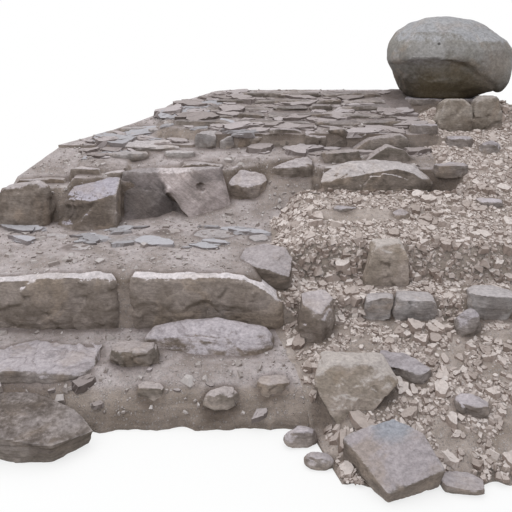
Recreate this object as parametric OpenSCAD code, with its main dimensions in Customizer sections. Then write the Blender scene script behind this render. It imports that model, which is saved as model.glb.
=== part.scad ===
/* [Levels] */
// Top of the first row of stones above the foot
step_1_rise = 270; // [220:5:320]
// Top of the kerb above the first row
kerb_rise = 330; // [280:5:380]
// Top of the third row above the kerb
step_3_rise = 330; // [280:5:380]
// Top of the low line of stones behind the third row
step_4_rise = 80; // [60:5:110]
// Top of the fifth row above that line
step_5_rise = 150; // [120:5:190]
// Rise of each thin course near the top
thin_rise = 40; // [32:1:50]
/* [Goings] */
// Front of the first row from the foot of the steps
foot_run = 560; // [540:5:620]
// From the front of the first row to the face of the kerb
tread_1 = 440; // [420:5:500]
// From the face of the kerb to the third row
tread_2 = 900; // [860:10:1000]
// From the third row to the low line behind it
tread_3 = 300; // [280:5:340]
// From the low line to the fifth row
tread_4 = 300; // [280:5:340]
// Going of each thin course
thin_run = 160; // [150:2:180]
/* [Plan] */
// Left edge of the steps at the kerb, from the middle of the path
left_width = 1540; // [1450:10:1600]
// How much further out the left edge lies at the third row
left_spread = 200; // [150:10:240]
// Right edge of the worn side at the kerb, from the middle of the path
right_width = 1420; // [1350:10:1500]
// How much further out the right edge lies at the boulder
right_spread = 640; // [600:10:700]
// Left edge of the steps at the back, where the path turns
back_left_width = 250; // [150:10:400]
// Distance from the last thin course to the back face
back_margin = 100; // [60:10:140]
/* [First row] */
// Length of the left slab
step_1_left_length = 640; // [560:10:700]
// Length of the small block beside it
small_block_length = 230; // [180:10:260]
// Length of the whaleback slab
whaleback_length = 680; // [600:10:720]
// Depth of the left slab and of the whaleback slab
step_1_depth = 310; // [260:10:340]
/* [Kerb] */
// Length of the left kerb stone
kerb_left_length = 830; // [740:10:900]
// Length of the right kerb stone
kerb_right_length = 850; // [760:10:900]
// Depth of the kerb stones from front to back
kerb_depth = 270; // [240:5:300]
// Earth-filled joint between the two kerb stones
kerb_joint = 58; // [40:2:80]
// How far the kerb stones go down below the tread in front
kerb_footing = 50; // [30:5:80]
/* [Third row] */
// Length of the left stone
row_left_length = 400; // [340:10:440]
// Length of the wedge block
wedge_length = 440; // [380:10:480]
// Length of the large block, with its foot
large_length = 740; // [660:10:800]
// Length of the stone at its right
row_right_length = 280; // [240:10:320]
// Length of the broad stone
broad_length = 320; // [280:10:360]
// Length of the pale slab
pale_length = 800; // [720:10:860]
/* [Thin courses] */
// Thickness of the thin slabs
thin_slab = 56; // [46:1:64]
/* [Boulder] */
// Width of the boulder across the path
boulder_width = 1040; // [960:10:1100]
// Depth of the boulder
boulder_depth = 800; // [740:10:840]
// Height of the boulder
boulder_height = 640; // [600:10:680]
/* [Stone] */
// Clearance between a stone and the earth packed round it
seat_gap = 0.3; // [0.2:0.1:0.5]
// Open joint between neighbouring stones of a row
joint_gap = 16; // [12:1:24]
// Open joint between neighbouring stones of an upper course
course_joint = 9; // [7:1:14]
// Roughness of the stones, as the deepest dent for each unit of radius
rough = 0.09; // [0.04:0.01:0.12]
/* [Hidden] */
$grow = 0;
// Levels of the treads
level_1 = step_1_rise;
level_2 = level_1 + kerb_rise;
level_3 = level_2 + step_3_rise;
level_4 = level_3 + step_4_rise;
level_5 = level_4 + step_5_rise;
thin_courses = 5;
level_top = level_5 + thin_courses * thin_rise;
// Lines of the foot and of the risers; the origin is under the middle of the long tread
line_foot = -(foot_run + tread_1 + tread_2 / 2);
line_1 = line_foot + foot_run;
line_kerb = line_1 + tread_1;
line_3 = line_kerb + tread_2;
line_4 = line_3 + tread_3;
line_5 = line_4 + tread_4;
line_top = line_5 + (thin_courses + 1) * thin_run;
line_back = line_top + back_margin;
// The kerb from left to right, and the line from it down to the toe of the worn side
kerb_overhang = 40;
kerb_right_start = kerb_left_length + kerb_joint - left_width - kerb_overhang;
kerb_end = kerb_right_start + kerb_right_length;
side_start = kerb_end + 20;
split_kerb = kerb_end - 60;
split_toe = side_start + 200;
// The left slab of the first row runs back almost to the kerb
step_1_left_depth = step_1_depth + 55;
// The third row from left to right, and where the worn side starts above it
row_start = -(left_width + left_spread);
wedge_start = row_start + row_left_length;
large_start = wedge_start + wedge_length;
large_end = large_start + large_length;
broad_start = large_end + row_right_length + 25;
pale_start = broad_start + broad_length;
split_top = pale_start + pale_length + 20;
// The earth in front of the first row, the toe of the worn side and its level under the boulder
line_bank = line_1 - 130;
line_toe = line_foot + 40;
line_boulder = line_5 + 2 * thin_run;
level_boulder = level_5 + 165;
boulder_x = right_width + right_spread + 60 - boulder_width / 2;
// Drop of the earth below the stones that hold it, fall of the kerb at its right and left ends, stand of
// the stones before the earth, and their bedding
earth_drop = 12;
kerb_fall = 150;
left_fall = 45;
proud = 25;
bedding = 90;
// Stone forms, as rings of height share, length share and depth share
BLOCK = [[0, 0.86, 0.86], [0.35, 1, 1], [0.85, 0.95, 0.95], [1, 0.84, 0.82]];
SLAB = [[0, 0.9, 0.86], [0.6, 1, 1], [1, 0.93, 0.9]];
HUMP = [[0, 0.86, 0.84], [0.35, 1, 1], [0.8, 0.72, 0.7], [1, 0.3, 0.36]];
CAP = [[0, 0.94, 0.9], [0.5, 1, 1], [0.85, 0.8, 0.78], [1, 0.5, 0.46]];
earth_colour = [0.66, 0.61, 0.57];
kerb_colour = [0.42, 0.38, 0.36];
pale_colour = [0.68, 0.65, 0.66];
blue_colour = [0.6, 0.61, 0.64];
brown_colour = [0.5, 0.45, 0.41];
boulder_colour = [0.53, 0.53, 0.54];

// One coordinate of a superellipse; a higher power gives squarer corners
function squared(c, power) = sign(c) * pow(abs(c), 2 / power);
// Sum of the first n entries
function upto(list, n) = n <= 0 ? 0 : list[n - 1] + upto(list, n - 1);
// Share from 0 to 1 along a smooth ramp between a and b, and a smooth hump of width w round m
function ramp(v, a, b) = let (t = min(1, max(0, (v - a) / (b - a)))) t * t * (3 - 2 * t);
function hump(v, m, w) = 1 - ramp(abs(v - m), 0, w);

// Points of a rough stone on rings; the slope lifts the upper rings and the lean moves them
function stone_points(size, form, power, dent, seed, count, slope, lean) = [
    for (r = [0 : len(form) - 1])
        let (chips = rands(0, dent, count, seed + 11 * r), share = form[r][0])
        for (i = [0 : count - 1])
            let (
                a = 360 * (i + 0.5) / count,
                x = squared(cos(a), power) * (size.x / 2 * form[r][1] * (1 - chips[i]) + $grow),
                y = squared(sin(a), power) * (size.y / 2 * form[r][2] * (1 - chips[i]) + $grow))
            [
                x + share * lean.x,
                y + share * lean.y,
                share * (size.z + slope.x * x + slope.y * y) + (share > 0.9 ? $grow : share < 0.1 ? -$grow : 0)
            ]
];

// The hull of a cloud of points
module cloud(points) hull() polyhedron(points, [[for (i = [0 : len(points) - 1]) i]]);

// A rough stone that stands on the origin, worn to a rounded outline
module stone(size, form = BLOCK, power = 4, dent = rough, seed = 1, count = 12, slope = [0, 0], lean = [0, 0])
    cloud(stone_points(size, form, power, dent, seed, count, slope, lean));

// A stone split to flat faces that stands on the origin: its corners are shares of its size
module split_stone(size, corners)
    cloud([for (c = corners) [
        c.x * size.x + sign(c.x) * $grow,
        c.y * size.y + sign(c.y) * $grow,
        c.z * size.z + (c.z > 0.3 ? $grow : c.z < 0.05 ? -$grow : 0)]]);

// Corners of a roughly squared stone: a base, a full middle and a smaller top, each of four corners and a
// point half way along the front and the back, all out of true by up to that share of the size
function squared_corners(seed, wild = 0.1) = [
    for (k = [0 : 2])
        let (c = rands(0, wild, 12, seed + 17 * k), level = [0, 0.62, 1][k], share = [0.46, 0.5, 0.46][k])
            for (i = [0 : 5])
                [
                    [-1, 1, 1, -1, 0, 0][i] * (share - 0.4 * c[i]) + (i > 3 ? 2 * c[i] - wild : 0),
                    [-1, -1, 1, 1, -1, 1][i] * (share - (i < 4 ? 1.3 * c[i + 6] : 0)),
                    level - (k == 2 ? 1.8 * c[(i + 5) % 12] : 0)
                ]
];

// A closed skin over rings of equal count that follow each other, with a middle point on each end
module skin(rings, first, last) {
    n = len(rings[0]);
    m = len(rings) - 1;
    points = concat([for (ring = rings) each ring], [first, last]);
    polyhedron(points, concat(
        [for (r = [0 : m - 1], i = [0 : n - 1])
            let (j = (i + 1) % n)
            each [[r * n + i, (r + 1) * n + i, (r + 1) * n + j], [r * n + i, (r + 1) * n + j, r * n + j]]],
        [for (i = [0 : n - 1]) [len(points) - 2, i, (i + 1) % n]],
        [for (i = [0 : n - 1]) [len(points) - 1, m * n + (i + 1) % n, m * n + i]]));
}

// Puts a stone in its place, turned about the upright and tipped
module lay(at, turn = 0, tip = [0, 0]) translate(at) rotate([0, 0, turn]) rotate([tip.x, tip.y, 0]) children();

// A row of stones end to end on a level bed; each entry of lengths is a stone with its joint
module course(start, bed, lengths, depth, height, bend = 0, seed = 1, joint = course_joint) {
    for (i = [0 : len(lengths) - 1]) {
        chance = rands(-1, 1, 4, seed + 5 * i);
        x = start.x + upto(lengths, i) + lengths[i] / 2;
        deep = depth * (1 - 0.12 * abs(chance[1]));
        lay([x, start.y + bend * (x - start.x) + depth / 2 - 0.05 * depth * chance[2], bed + seat_gap],
            turn = atan(bend) + 1.2 * chance[3])
            split_stone(
                [lengths[i] - joint, deep, height * (1 + 0.1 * chance[0])],
                squared_corners(seed + 3 * i, wild = 0.06));
    }
}

// The level bench that is cut in the earth for such a row, open to the sky
open_above = 400;
module bench(start, bed, length, depth, bend = 0)
    translate([start.x, start.y, bed])
        rotate([0, 0, atan(bend)])
            translate([-6, -14, 0])
                cube([length * sqrt(1 + bend * bend) + 12, depth + 22, open_above]);

// Packs earth round the stones: they are grown by the clearance before they are cut out
module packed_round() {
    $grow = seat_gap;
    children();
}

// Outer edges of the steps, and the line between the built half and the worn side at the foot, behind the
// kerb and above the third row: each entry is a distance up the slope and a place across the path
left_line = [
    [line_foot, 150 - left_width], [line_kerb, -left_width], [line_3, row_start], [line_5, 60 - left_width],
    [line_back, -back_left_width]];
right_line = [
    [line_foot, right_width - 270], [line_kerb, right_width], [line_3, right_width + right_spread / 2],
    [line_boulder, right_width + right_spread]];
foot_line = [[line_toe, split_toe], [line_kerb, split_kerb]];
kerb_line = [[line_kerb, split_kerb]];
top_line = [[line_3, split_top]];
function split(y) = y < line_3 ? lookup(y, foot_line) : split_top;
// Front of the third row and of the low line behind it, across the path
function row_3(x) = line_3 + lookup(x, [
    [row_start, 20], [wedge_start, 40], [large_start, 90], [large_end - 160, 200], [large_end + 40, 330],
    [pale_start - 80, 420], [pale_start, 190], [split_top, 200]]);
function row_4(x) = line_4 + lookup(x, [
    [row_start, -130], [large_start - 20, -100], [large_start, 40], [large_end, 110], [split_top, 110]]);
// Top of the earth behind the low line, which starts low at the left and climbs to the right
function level_row_4(x) = level_3 + lookup(x, [
    [row_start, -45], [wedge_start + 60, -45], [wedge_start + 100, 15], [large_start - 140, 15],
    [large_start, -20], [large_end - 60, 25], [large_end + 220, 50], [split_top, 50]]);
// How far the worn left side of the upper steps has sunk, and where that side ends
function sunk_edge(y) = lookup(y, [
    [line_5 + thin_run / 2, thin_start - 165], [line_5 + thin_run, thin_place(1).x - 35]]);
function sunk(x, y) = 75 * (1 - ramp(x, sunk_edge(y) - 150, sunk_edge(y)))
    * (1 - ramp(y, line_5 + 2 * thin_run, line_top));
// How far the earth behind the kerb has sunk with the kerb's ends
function fallen(x, y) = y > line_kerb
    ? (kerb_fall * ramp(x, kerb_end - 340, kerb_end - 80) + left_fall * ramp(-x, left_width - 500, left_width))
        * (1 - ramp(y, line_kerb + 90, line_kerb + 260))
    : 0;
// Earth heaped against the foot of the broad stone
function heaped(x, y) = 130 * ramp(y, line_3 + 110, line_3 + 380)
    * ramp(x, large_end + 130, broad_start) * (1 - ramp(x, pale_start - 80, pale_start));
// Height of the earth on the built half
function built_height(x, y) = y < line_3
    ? lookup(y, [
        [line_bank, 25], [line_1, level_1 - 105], [line_1 + 90, level_1 - 48], [line_1 + 200, level_1 - 40],
        [line_1 + 300, level_1 - 10], [line_kerb, level_1 + 5],
        [line_kerb + 1, level_2 - 45], [line_kerb + kerb_depth - 40, level_2 - 35],
        [line_kerb + kerb_depth + 10, level_2 - earth_drop], [line_3, level_2 + 10]]) - fallen(x, y)
    : y < line_5
    ? (y < row_3(x) ? level_2 + 20 + 0.35 * (y - line_3) + heaped(x, y)
        : y < row_4(x) ? level_row_4(x) - 40 : lookup(y, [
        [row_4(x), level_row_4(x)], [line_5, level_4 + 10]]))
    : lookup(y, [
        [line_5, level_5 - thin_rise], [line_5 + thin_run, level_5 - 6], [line_top, level_top - 6],
        [line_back, level_top]]) - sunk(x, y);
// Height of the worn side: it meets the built half along the split, and a path's width away it follows its
// own slope, with a low bank at the kerb, another behind it and one at the boulder
function worn_slope(y) = lookup(y, [
    [line_toe, 14], [line_foot + 450, 165], [line_kerb - 90, level_1 + 50], [line_kerb, level_1 + 60],
    [line_kerb + 60, level_2 - 165], [line_kerb + 240, level_2 - 140], [line_kerb + 320, level_2 + 70],
    [line_3, level_2 + 235], [line_5, level_4 + 60], [line_boulder - 60, level_4 + 110],
    [line_boulder + 60, level_boulder - 40], [line_back, level_boulder - 20]]);
function worn_height(x, y) =
    let (s = split(y), near = built_height(s - 2, y), t = ramp(x, s, s + 200))
    near + (worn_slope(y) - near) * t;
function bump(x, y) = 5 * sin(x * 0.9 + 40) * sin(y * 1.1) + 3 * sin(x * 1.7 + y * 1.3);

// A closed bed of earth from one distance up the slope to another, between two of those lines, flat on the
// ground, with its top from a height rule
module bed(from, to, left, right, across, along, worn) {
    top = [
        for (j = [0 : along])
            let (y = from + (to - from) * j / along)
            for (i = [0 : across])
                let (
                    a = lookup(y, left),
                    x = a + (lookup(y, right) - a) * i / across,
                    yh = min(to - 1, max(from + 1.1, y)))
                [x, y, (worn ? worn_height(x, yh) : built_height(x, yh)) + bump(x, y)]];
    row = across + 1;
    last = len(top);
    back = last + 2 * along + 1;
    base = concat(
        [for (j = [0 : along]) [top[j * row].x, top[j * row].y, 0]],
        [for (j = [0 : along]) [top[j * row + across].x, top[j * row + across].y, 0]]);
    polyhedron(
        concat(top, base),
        concat(
            [for (j = [0 : along - 1], i = [0 : across - 1]) [j * row + i, (j + 1) * row + i, j * row + i + 1]],
            [for (j = [0 : along - 1], i = [0 : across - 1])
                [j * row + i + 1, (j + 1) * row + i, (j + 1) * row + i + 1]],
            [[for (i = [0 : across]) i, last + along + 1, last]],
            [[for (i = [across : -1 : 0]) row * along + i, last + along, back]],
            [for (j = [0 : along - 1]) [(j + 1) * row, j * row, last + j, last + j + 1]],
            [for (j = [0 : along - 1])
                [j * row + across, (j + 1) * row + across, last + along + 2 + j, last + along + 1 + j]],
            [[for (j = [0 : along]) last + along + 1 + j, for (j = [along : -1 : 0]) last + j]]));
}

module bottom_left_slab() {
    color(brown_colour)
        lay([145 - left_width + step_1_left_length / 2, line_1 - 195, 0], turn = -8)
            split_stone([step_1_left_length + 20, step_1_depth + 30, 160], [
                [-0.5, -0.32, 0], [0, -0.42, 0], [0.26, -0.36, 0], [0.44, 0.1, 0], [0.2, 0.36, 0],
                [-0.5, 0.5, 0], [-0.5, -0.4, 0.86], [-0.08, -0.5, 0.9], [0.3, -0.42, 0.68],
                [0.5, 0.06, 0.56], [0.3, 0.3, 0.9], [0, 0.48, 1.05], [-0.5, 0.5, 1]]);
}

module step_1_left_slab() {
    color(pale_colour)
        lay([110 - left_width + step_1_left_length / 2, line_1 + 5 + step_1_left_depth / 2, level_1 - 170],
            turn = 2)
            stone([step_1_left_length, step_1_left_depth, 166], SLAB, 4, seed = 32, slope = [0.01, 0.02]);
}

module step_1_small_block() {
    color(brown_colour)
        lay([120 - left_width + step_1_left_length + joint_gap + 0.6 * small_block_length, line_1 + 160,
            level_1 - bedding - 30], turn = 8)
            stone([1.18 * small_block_length, 150, bedding + 84], BLOCK, 3, seed = 41, count = 9);
}

module step_1_whaleback_slab() {
    color(pale_colour)
        lay([kerb_end - 45 - whaleback_length / 2, line_1 + 175 + step_1_depth * 0.38, level_1 - bedding],
            turn = -3)
            stone([whaleback_length, step_1_depth * 0.76, bedding + 114],
                [[0, 0.92, 0.94], [0.36, 1, 1], [0.7, 0.9, 0.74], [0.92, 0.6, 0.42], [1, 0.3, 0.24]], 2.6,
                seed = 53, lean = [-30, 62]);
}

module foot_bank_stones() {
    color(brown_colour) {
        lay([kerb_end - 328, line_1 - 25, level_1 - 178], turn = 20, tip = [12, 0])
            stone([230, 120, 105], HUMP, 3, seed = 61, count = 7);
        lay([side_start + 252, line_1 + 190, level_1 - 80], turn = 10)
            stone([150, 90, 90], HUMP, 3, seed = 62, count = 7);
        lay([kerb_end - 678, line_1 - 5, level_1 - 165], turn = -10)
            stone([150, 90, 90], SLAB, 3, seed = 63, count = 7);
        lay([kerb_end - 68, line_1 + 20, level_1 - 135], turn = 15)
            stone([190, 110, 80], SLAB, 3, seed = 64, count = 7);
    }
}

module right_foot_block() {
    color(brown_colour)
        lay([side_start + 305, line_1 - 65, 0], turn = -4)
            split_stone([430, 260, 348], [
                [-0.36, -0.5, 0], [0.3, -0.5, 0], [0.45, 0.1, 0], [0.3, 0.5, 0], [-0.45, 0.4, 0],
                [-0.5, -0.36, 0.36], [-0.1, -0.5, 0.24], [0.42, -0.4, 0.4], [0.5, -0.1, 0.72],
                [-0.46, -0.08, 0.9], [0.24, 0.02, 1], [-0.36, 0.02, 1.02], [0.3, 0.42, 1.02], [-0.4, 0.44, 1]]);
}

module right_foot_tilted_slab() {
    color(blue_colour)
        lay([side_start + 407, line_foot + 112, 0])
            split_stone([420, 310, 225], [
                [-0.46, 0.32, 0], [0.04, 0.44, 0], [0.3, 0.12, 0], [0.45, -0.2, 0], [-0.1, -0.45, 0],
                [-0.5, 0.36, 0.66], [0.08, 0.5, 1.02], [0.32, 0.16, 0.95], [0.5, -0.22, 0.48],
                [-0.12, -0.5, 0.27]]);
}

module right_foot_sloping_slab() {
    color(brown_colour)
        lay([side_start + 560, line_1 + 95, level_1 - 80], turn = -32, tip = [10, 4])
            stone([300, 150, 95], SLAB, 3.4, seed = 91, count = 9);
}

module right_foot_loose_stones() {
    color(blue_colour) {
        lay([side_start + 34, line_bank - 72, 0], turn = 10)
            stone([180, 110, 92], HUMP, 2.4, seed = 101, count = 8);
        lay([side_start + 105, line_foot + 205, 0], turn = -8)
            stone([160, 100, 66], HUMP, 2.6, seed = 104, count = 8);
        lay([side_start + 697, line_foot + 62, 0], turn = -14)
            stone([210, 130, 42], SLAB, 3, seed = 102, count = 7);
        lay([side_start + 842, line_foot + 420, 120], turn = -20)
            stone([170, 120, 80], SLAB, 3, seed = 103, count = 7);
    }
}

// A kerb stone, as cross-sections along its length: a hewn face, a worn arris and a level top.
// fall lowers the top towards the right end, or the left one if it is negative, and the face is hollowed low
// down near one place.
module kerb_stone(length, fall, hollow_at, seed) {
    tall = kerb_rise + kerb_footing;
    stations = [-0.5, -0.46, -0.28, -0.1, 0.08, 0.24, 0.36, 0.46, 0.5];
    rings = [
        for (k = [0 : len(stations) - 1])
            let (
                s = stations[k],
                at_end = abs(s) > 0.49 ? 1 : 0,
                c = rands(-1, 1, 6, seed + 7 * k),
                x = s * (length + 2 * $grow),
                h = tall - (fall > 0 ? fall * ramp(s, 0.2, 0.52) : -fall * ramp(-s, -0.1, 0.5)) + 5 * c[0]
                    - 26 * at_end,
                front = -kerb_depth / 2 + 9 * c[1] + 24 * at_end - $grow,
                rear = kerb_depth / 2 - 8 * abs(c[2]) - 30 * at_end + 2 * $grow,
                dip = 22 * hump(s, hollow_at, 0.2))
            [
                [x, front + 24 + dip, -$grow],
                [x, rear - 10, -$grow],
                [x, rear, 0.6 * h],
                [x, rear - 14, h + $grow - 4],
                [x, front + 44 + 8 * c[3], h + $grow],
                [x, front + 16, h - 9 + $grow],
                [x, front + 2, h - 34],
                [x, front + 6 * c[4], 0.62 * h],
                [x, front + 10 + 0.7 * dip, 0.3 * h]
            ]];
    middle = tall * 0.45;
    skin(rings, [rings[0][0].x - 4, 0, middle], [rings[len(stations) - 1][0].x + 4, 0, middle - fall / 4]);
}

module kerb_left_stone() {
    color(kerb_colour)
        lay([
            kerb_left_length / 2 - left_width - kerb_overhang,
            line_kerb + kerb_depth / 2 - proud,
            level_1 - kerb_footing])
            kerb_stone(kerb_left_length, -left_fall, 0.9, 114);
}

module kerb_right_stone() {
    color(kerb_colour)
        difference() {
            lay([kerb_end - kerb_right_length / 2, line_kerb + kerb_depth / 2 - proud, level_1 - kerb_footing])
                kerb_stone(kerb_right_length, kerb_fall, 0.02, 123);
            packed_round()
                kerb_corner_stone();
        }
}

module kerb_corner_stone() {
    color(pale_colour)
        lay([kerb_end - 105, line_kerb + kerb_depth - 35, level_2 - 150], turn = -8)
            split_stone([310, 290, 200], [
                [-0.46, -0.36, 0], [0.44, -0.46, 0], [0.46, 0.4, 0], [-0.46, 0.42, 0],
                [-0.5, -0.2, 0.78], [0.1, -0.5, 0.74], [0.5, -0.4, 0.44], [0.5, 0.1, 0.8], [0.34, 0.4, 0.98],
                [-0.1, 0.5, 1], [-0.5, 0.4, 0.9], [0.2, 0, 1]]);
}

module kerb_end_block() {
    color(pale_colour)
        lay([side_start + 150, line_kerb - 75, level_1 - 70], turn = 6)
            split_stone([215, 240, 300], [
                [-0.4, -0.3, 0], [0.06, -0.5, 0], [0.44, -0.1, 0], [0.4, 0.46, 0], [-0.4, 0.46, 0],
                [-0.5, -0.24, 0.6], [0.02, -0.5, 0.56], [0.5, -0.04, 0.6], [-0.4, -0.14, 0.94],
                [0, -0.32, 0.82], [0.42, 0.1, 0.96], [0.3, 0.46, 1], [-0.34, 0.42, 0.98]]);
}

module right_riser_stones() {
    color(blue_colour)
        course([side_start + 378, line_kerb - proud], level_2 - 315, [200, 250], 150, 160, seed = 151,
            joint = joint_gap);
}

module right_edge_slab() {
    color(blue_colour)
        lay([right_width - 118, line_kerb + 70, level_1 + 40], turn = -8)
            stone([270, 200, 172], SLAB, 4, seed = 161, count = 10);
}

module right_bank_stone() {
    color(brown_colour)
        lay([side_start + 575, line_kerb + 275, level_2 - 220], turn = 2, tip = [6, 0])
            split_stone([270, 150, 330], [
                [-0.5, -0.5, 0], [0.5, -0.5, 0], [0.5, 0.5, 0], [-0.5, 0.5, 0], [-0.44, -0.46, 0.7],
                [0.42, -0.4, 0.76], [-0.24, -0.2, 1], [0.26, -0.16, 1], [0.3, 0.4, 1], [-0.3, 0.4, 0.98]]);
}

module tread_2_flat_stones() {
    color(blue_colour) {
        lay([row_start + 440, line_3 - 260, level_2 - 45])
            stone([330, 190, 65], HUMP, 2.6, seed = 181, count = 9);
        lay([kerb_end - 958, line_3 - 340, level_2 - 34], turn = 8)
            stone([300, 160, 56], SLAB, 3, seed = 182, count = 7);
        lay([kerb_end - 418, line_3 - 245, level_2 - 32], turn = -6)
            stone([310, 200, 58], SLAB, 3, seed = 183, count = 8);
        lay([kerb_end - 143, line_3 - 330, level_2 - 34], turn = 20)
            stone([130, 150, 62], SLAB, 3, seed = 186, count = 7);
        lay([kerb_end - 733, line_3 - 205, level_2 - 32], turn = 15)
            stone([200, 120, 56], SLAB, 3, seed = 184, count = 7);
        lay([kerb_end - 1238, line_kerb + 420, level_2 - 36], turn = -4)
            stone([190, 120, 54], SLAB, 3, seed = 185, count = 7);
    }
}

module step_3_left_stone() {
    color(pale_colour)
        lay([row_start - 20 + row_left_length / 2, line_3 - 10, level_2 - bedding], turn = -3)
            stone([row_left_length - joint_gap, 230, step_3_rise + bedding - 50], CAP, 3, seed = 191,
                count = 10);
}

module step_3_wedge_block() {
    color(pale_colour)
        lay([wedge_start + wedge_length / 2 - joint_gap / 2, line_3 - 25, level_2 - bedding])
            split_stone([wedge_length - joint_gap, 330, step_3_rise + bedding], [
                [-0.5, -0.26, 0], [-0.1, -0.5, 0], [0.5, -0.36, 0], [0.5, 0.46, 0], [-0.4, 0.46, 0],
                [-0.47, -0.2, 0.3], [-0.06, -0.47, 0.3], [0.5, -0.32, 0.3], [-0.38, -0.06, 0.62],
                [0.14, -0.16, 0.74], [0.5, -0.12, 0.8], [-0.24, 0.3, 0.86], [0.2, 0.44, 1], [0.5, 0.4, 0.98]]);
}

// The large block: a tall body at the left, and a flank that falls away from the crest to the right and the
// front, so that a ridge runs slantwise down between the two
module step_3_large_block() {
    tall = step_3_rise + bedding;
    deep = 300;
    color(kerb_colour)
        lay([large_start, line_3 + deep / 2, level_2 - bedding]) {
            translate([0.27 * large_length, 0, 0])
                split_stone([0.48 * large_length, deep, tall], [
                    [-0.48, -0.43, 0], [0.1, -0.38, 0], [0.46, -0.16, 0], [0.5, 0.5, 0], [-0.48, 0.5, 0],
                    [-0.5, -0.46, 0.42], [0.1, -0.36, 0.44], [-0.48, -0.33, 1.03], [0, -0.32, 0.99],
                    [0.4, -0.13, 1.01], [0.5, 0.5, 1.03], [-0.48, 0.5, 1]]);
            translate([0.675 * large_length, 0.3 * deep, 0])
                split_stone([0.65 * large_length, deep, tall], [
                    [-0.3, -0.58, 0], [-0.12, -0.62, 0], [0.46, -0.2, 0], [0.44, 0.01, 0], [-0.5, 0.2, 0],
                    [-0.14, -0.64, 0.31], [0.5, -0.14, 0.33], [0.46, 0.01, 0.36], [-0.44, -0.36, 0.82],
                    [0.34, -0.15, 0.72], [-0.42, -0.38, 1], [0, 0.05, 1.06], [0.3, 0.04, 1.04],
                    [0.33, 0.2, 1.03], [-0.45, 0.2, 1.02]]);
        }
}

// These two have a broad top that is worn down towards the front
module step_3_right_stone() {
    color(brown_colour)
        lay([large_end + row_right_length / 2 - 32, line_3 + 352, level_2 - 20], turn = 4)
            split_stone([row_right_length + 24, 200, step_3_rise + 12], [
                [-0.44, -0.4, 0], [0.1, -0.5, 0], [0.4, -0.3, 0], [0.38, 0.46, 0], [-0.42, 0.46, 0],
                [-0.5, -0.36, 0.7], [-0.1, -0.5, 0.65], [0.28, -0.46, 0.71], [0.43, -0.2, 0.77],
                [-0.36, 0.1, 0.93], [0, 0.3, 1], [0.34, 0.3, 0.98], [0.43, 0.4, 0.84], [-0.46, 0.46, 0.82]]);
}

module step_3_broad_stone() {
    color(pale_colour)
        lay([broad_start + broad_length / 2 - 43, line_3 + 440, level_3 - 180], turn = 3)
            split_stone([broad_length + 30, 230, 270], [
                [-0.44, -0.4, 0], [0.44, -0.46, 0], [0.46, 0.44, 0], [-0.44, 0.46, 0],
                [-0.5, -0.3, 0.6], [-0.1, -0.5, 0.66], [0.3, -0.47, 0.73], [0.5, -0.3, 0.64],
                [-0.4, 0.3, 0.76], [-0.05, 0.36, 0.95], [0.28, 0.3, 1], [0.46, 0.2, 0.9],
                [0.4, 0.46, 0.8], [-0.44, 0.46, 0.6]]);
}

module step_3_pale_slab() {
    color(pale_colour)
        lay([pale_start + pale_length / 2 - 40, line_3 + 205, level_3 - 180], turn = 3)
            split_stone([pale_length - joint_gap, 300, 246], [
                [-0.46, -0.3, 0], [-0.2, -0.44, 0], [0.2, -0.5, 0], [0.44, -0.36, 0], [0.46, 0.44, 0],
                [-0.46, 0.44, 0], [-0.5, -0.2, 0.5], [-0.32, -0.42, 0.55], [-0.1, -0.46, 0.62],
                [0.1, -0.44, 0.79], [0.3, -0.42, 0.72], [0.5, -0.2, 0.45], [-0.44, 0.3, 0.78],
                [-0.2, 0.3, 0.97], [0.1, 0.36, 1], [0.34, 0.24, 0.93], [0.46, 0.3, 0.7],
                [-0.2, 0, 0.93], [0.1, -0.1, 0.97]]);
}

module step_3_gable_stones() {
    color(brown_colour) {
        lay([split_top - 325, line_3 + 450, level_3 - 80], turn = 3)
            split_stone([360, 140, 225], [
                [-0.5, -0.46, 0], [0.5, -0.46, 0], [0.5, 0.5, 0], [-0.5, 0.5, 0], [-0.48, -0.4, 0.5],
                [0.5, -0.36, 0.52], [-0.06, -0.36, 0.98], [0.3, -0.3, 0.84], [-0.02, 0.4, 1], [0.4, 0.4, 0.74],
                [-0.44, 0.44, 0.6]]);
        lay([split_top - 672, line_3 + 445, level_3 - 80])
            stone([322, 120, 178], SLAB, 3, seed = 252, count = 7, slope = [0.08, 0]);
        lay([slab_start + leaning_slab_length / 2, line_5 - 8, level_3 - 80], turn = 2)
            split_stone([leaning_slab_length, 110, 286], [
                [-0.5, -0.5, 0], [0.5, -0.5, 0], [0.5, 0.5, 0], [-0.5, 0.5, 0], [-0.5, -0.44, 0.5],
                [-0.2, -0.3, 0.84], [0.34, -0.3, 0.97], [0.5, -0.4, 0.86], [0.4, 0.4, 1], [-0.2, 0.44, 0.92],
                [-0.5, 0.44, 0.62]]);
    }
}

// The low line of stones behind the third row, which climbs and runs back as it goes to the right: each entry
// is a length, the place of its front behind the line of the third row, its top above that row, and its depth
line_stones = [
    [390, 150, -30, 120], [240, 150, 36, 130], [160, 165, 12, 120],
    [340, 318, 2, 130], [330, 345, 40, 130], [270, 458, 76, 100]];
line_stone_lengths = [for (one = line_stones) one[0]];
line_stone_height = 175;
module step_4_line_stones() {
    color(pale_colour)
        for (i = [0 : len(line_stones) - 1]) {
            one = line_stones[i];
            lay([
                row_start + 55 + upto(line_stone_lengths, i) + one[0] / 2,
                line_3 + one[1] + one[3] / 2,
                level_3 + one[2] - line_stone_height],
                turn = i < 3 ? 1 : 5)
                split_stone([one[0] - course_joint, one[3], line_stone_height], squared_corners(261 + 4 * i));
        }
}

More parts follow.
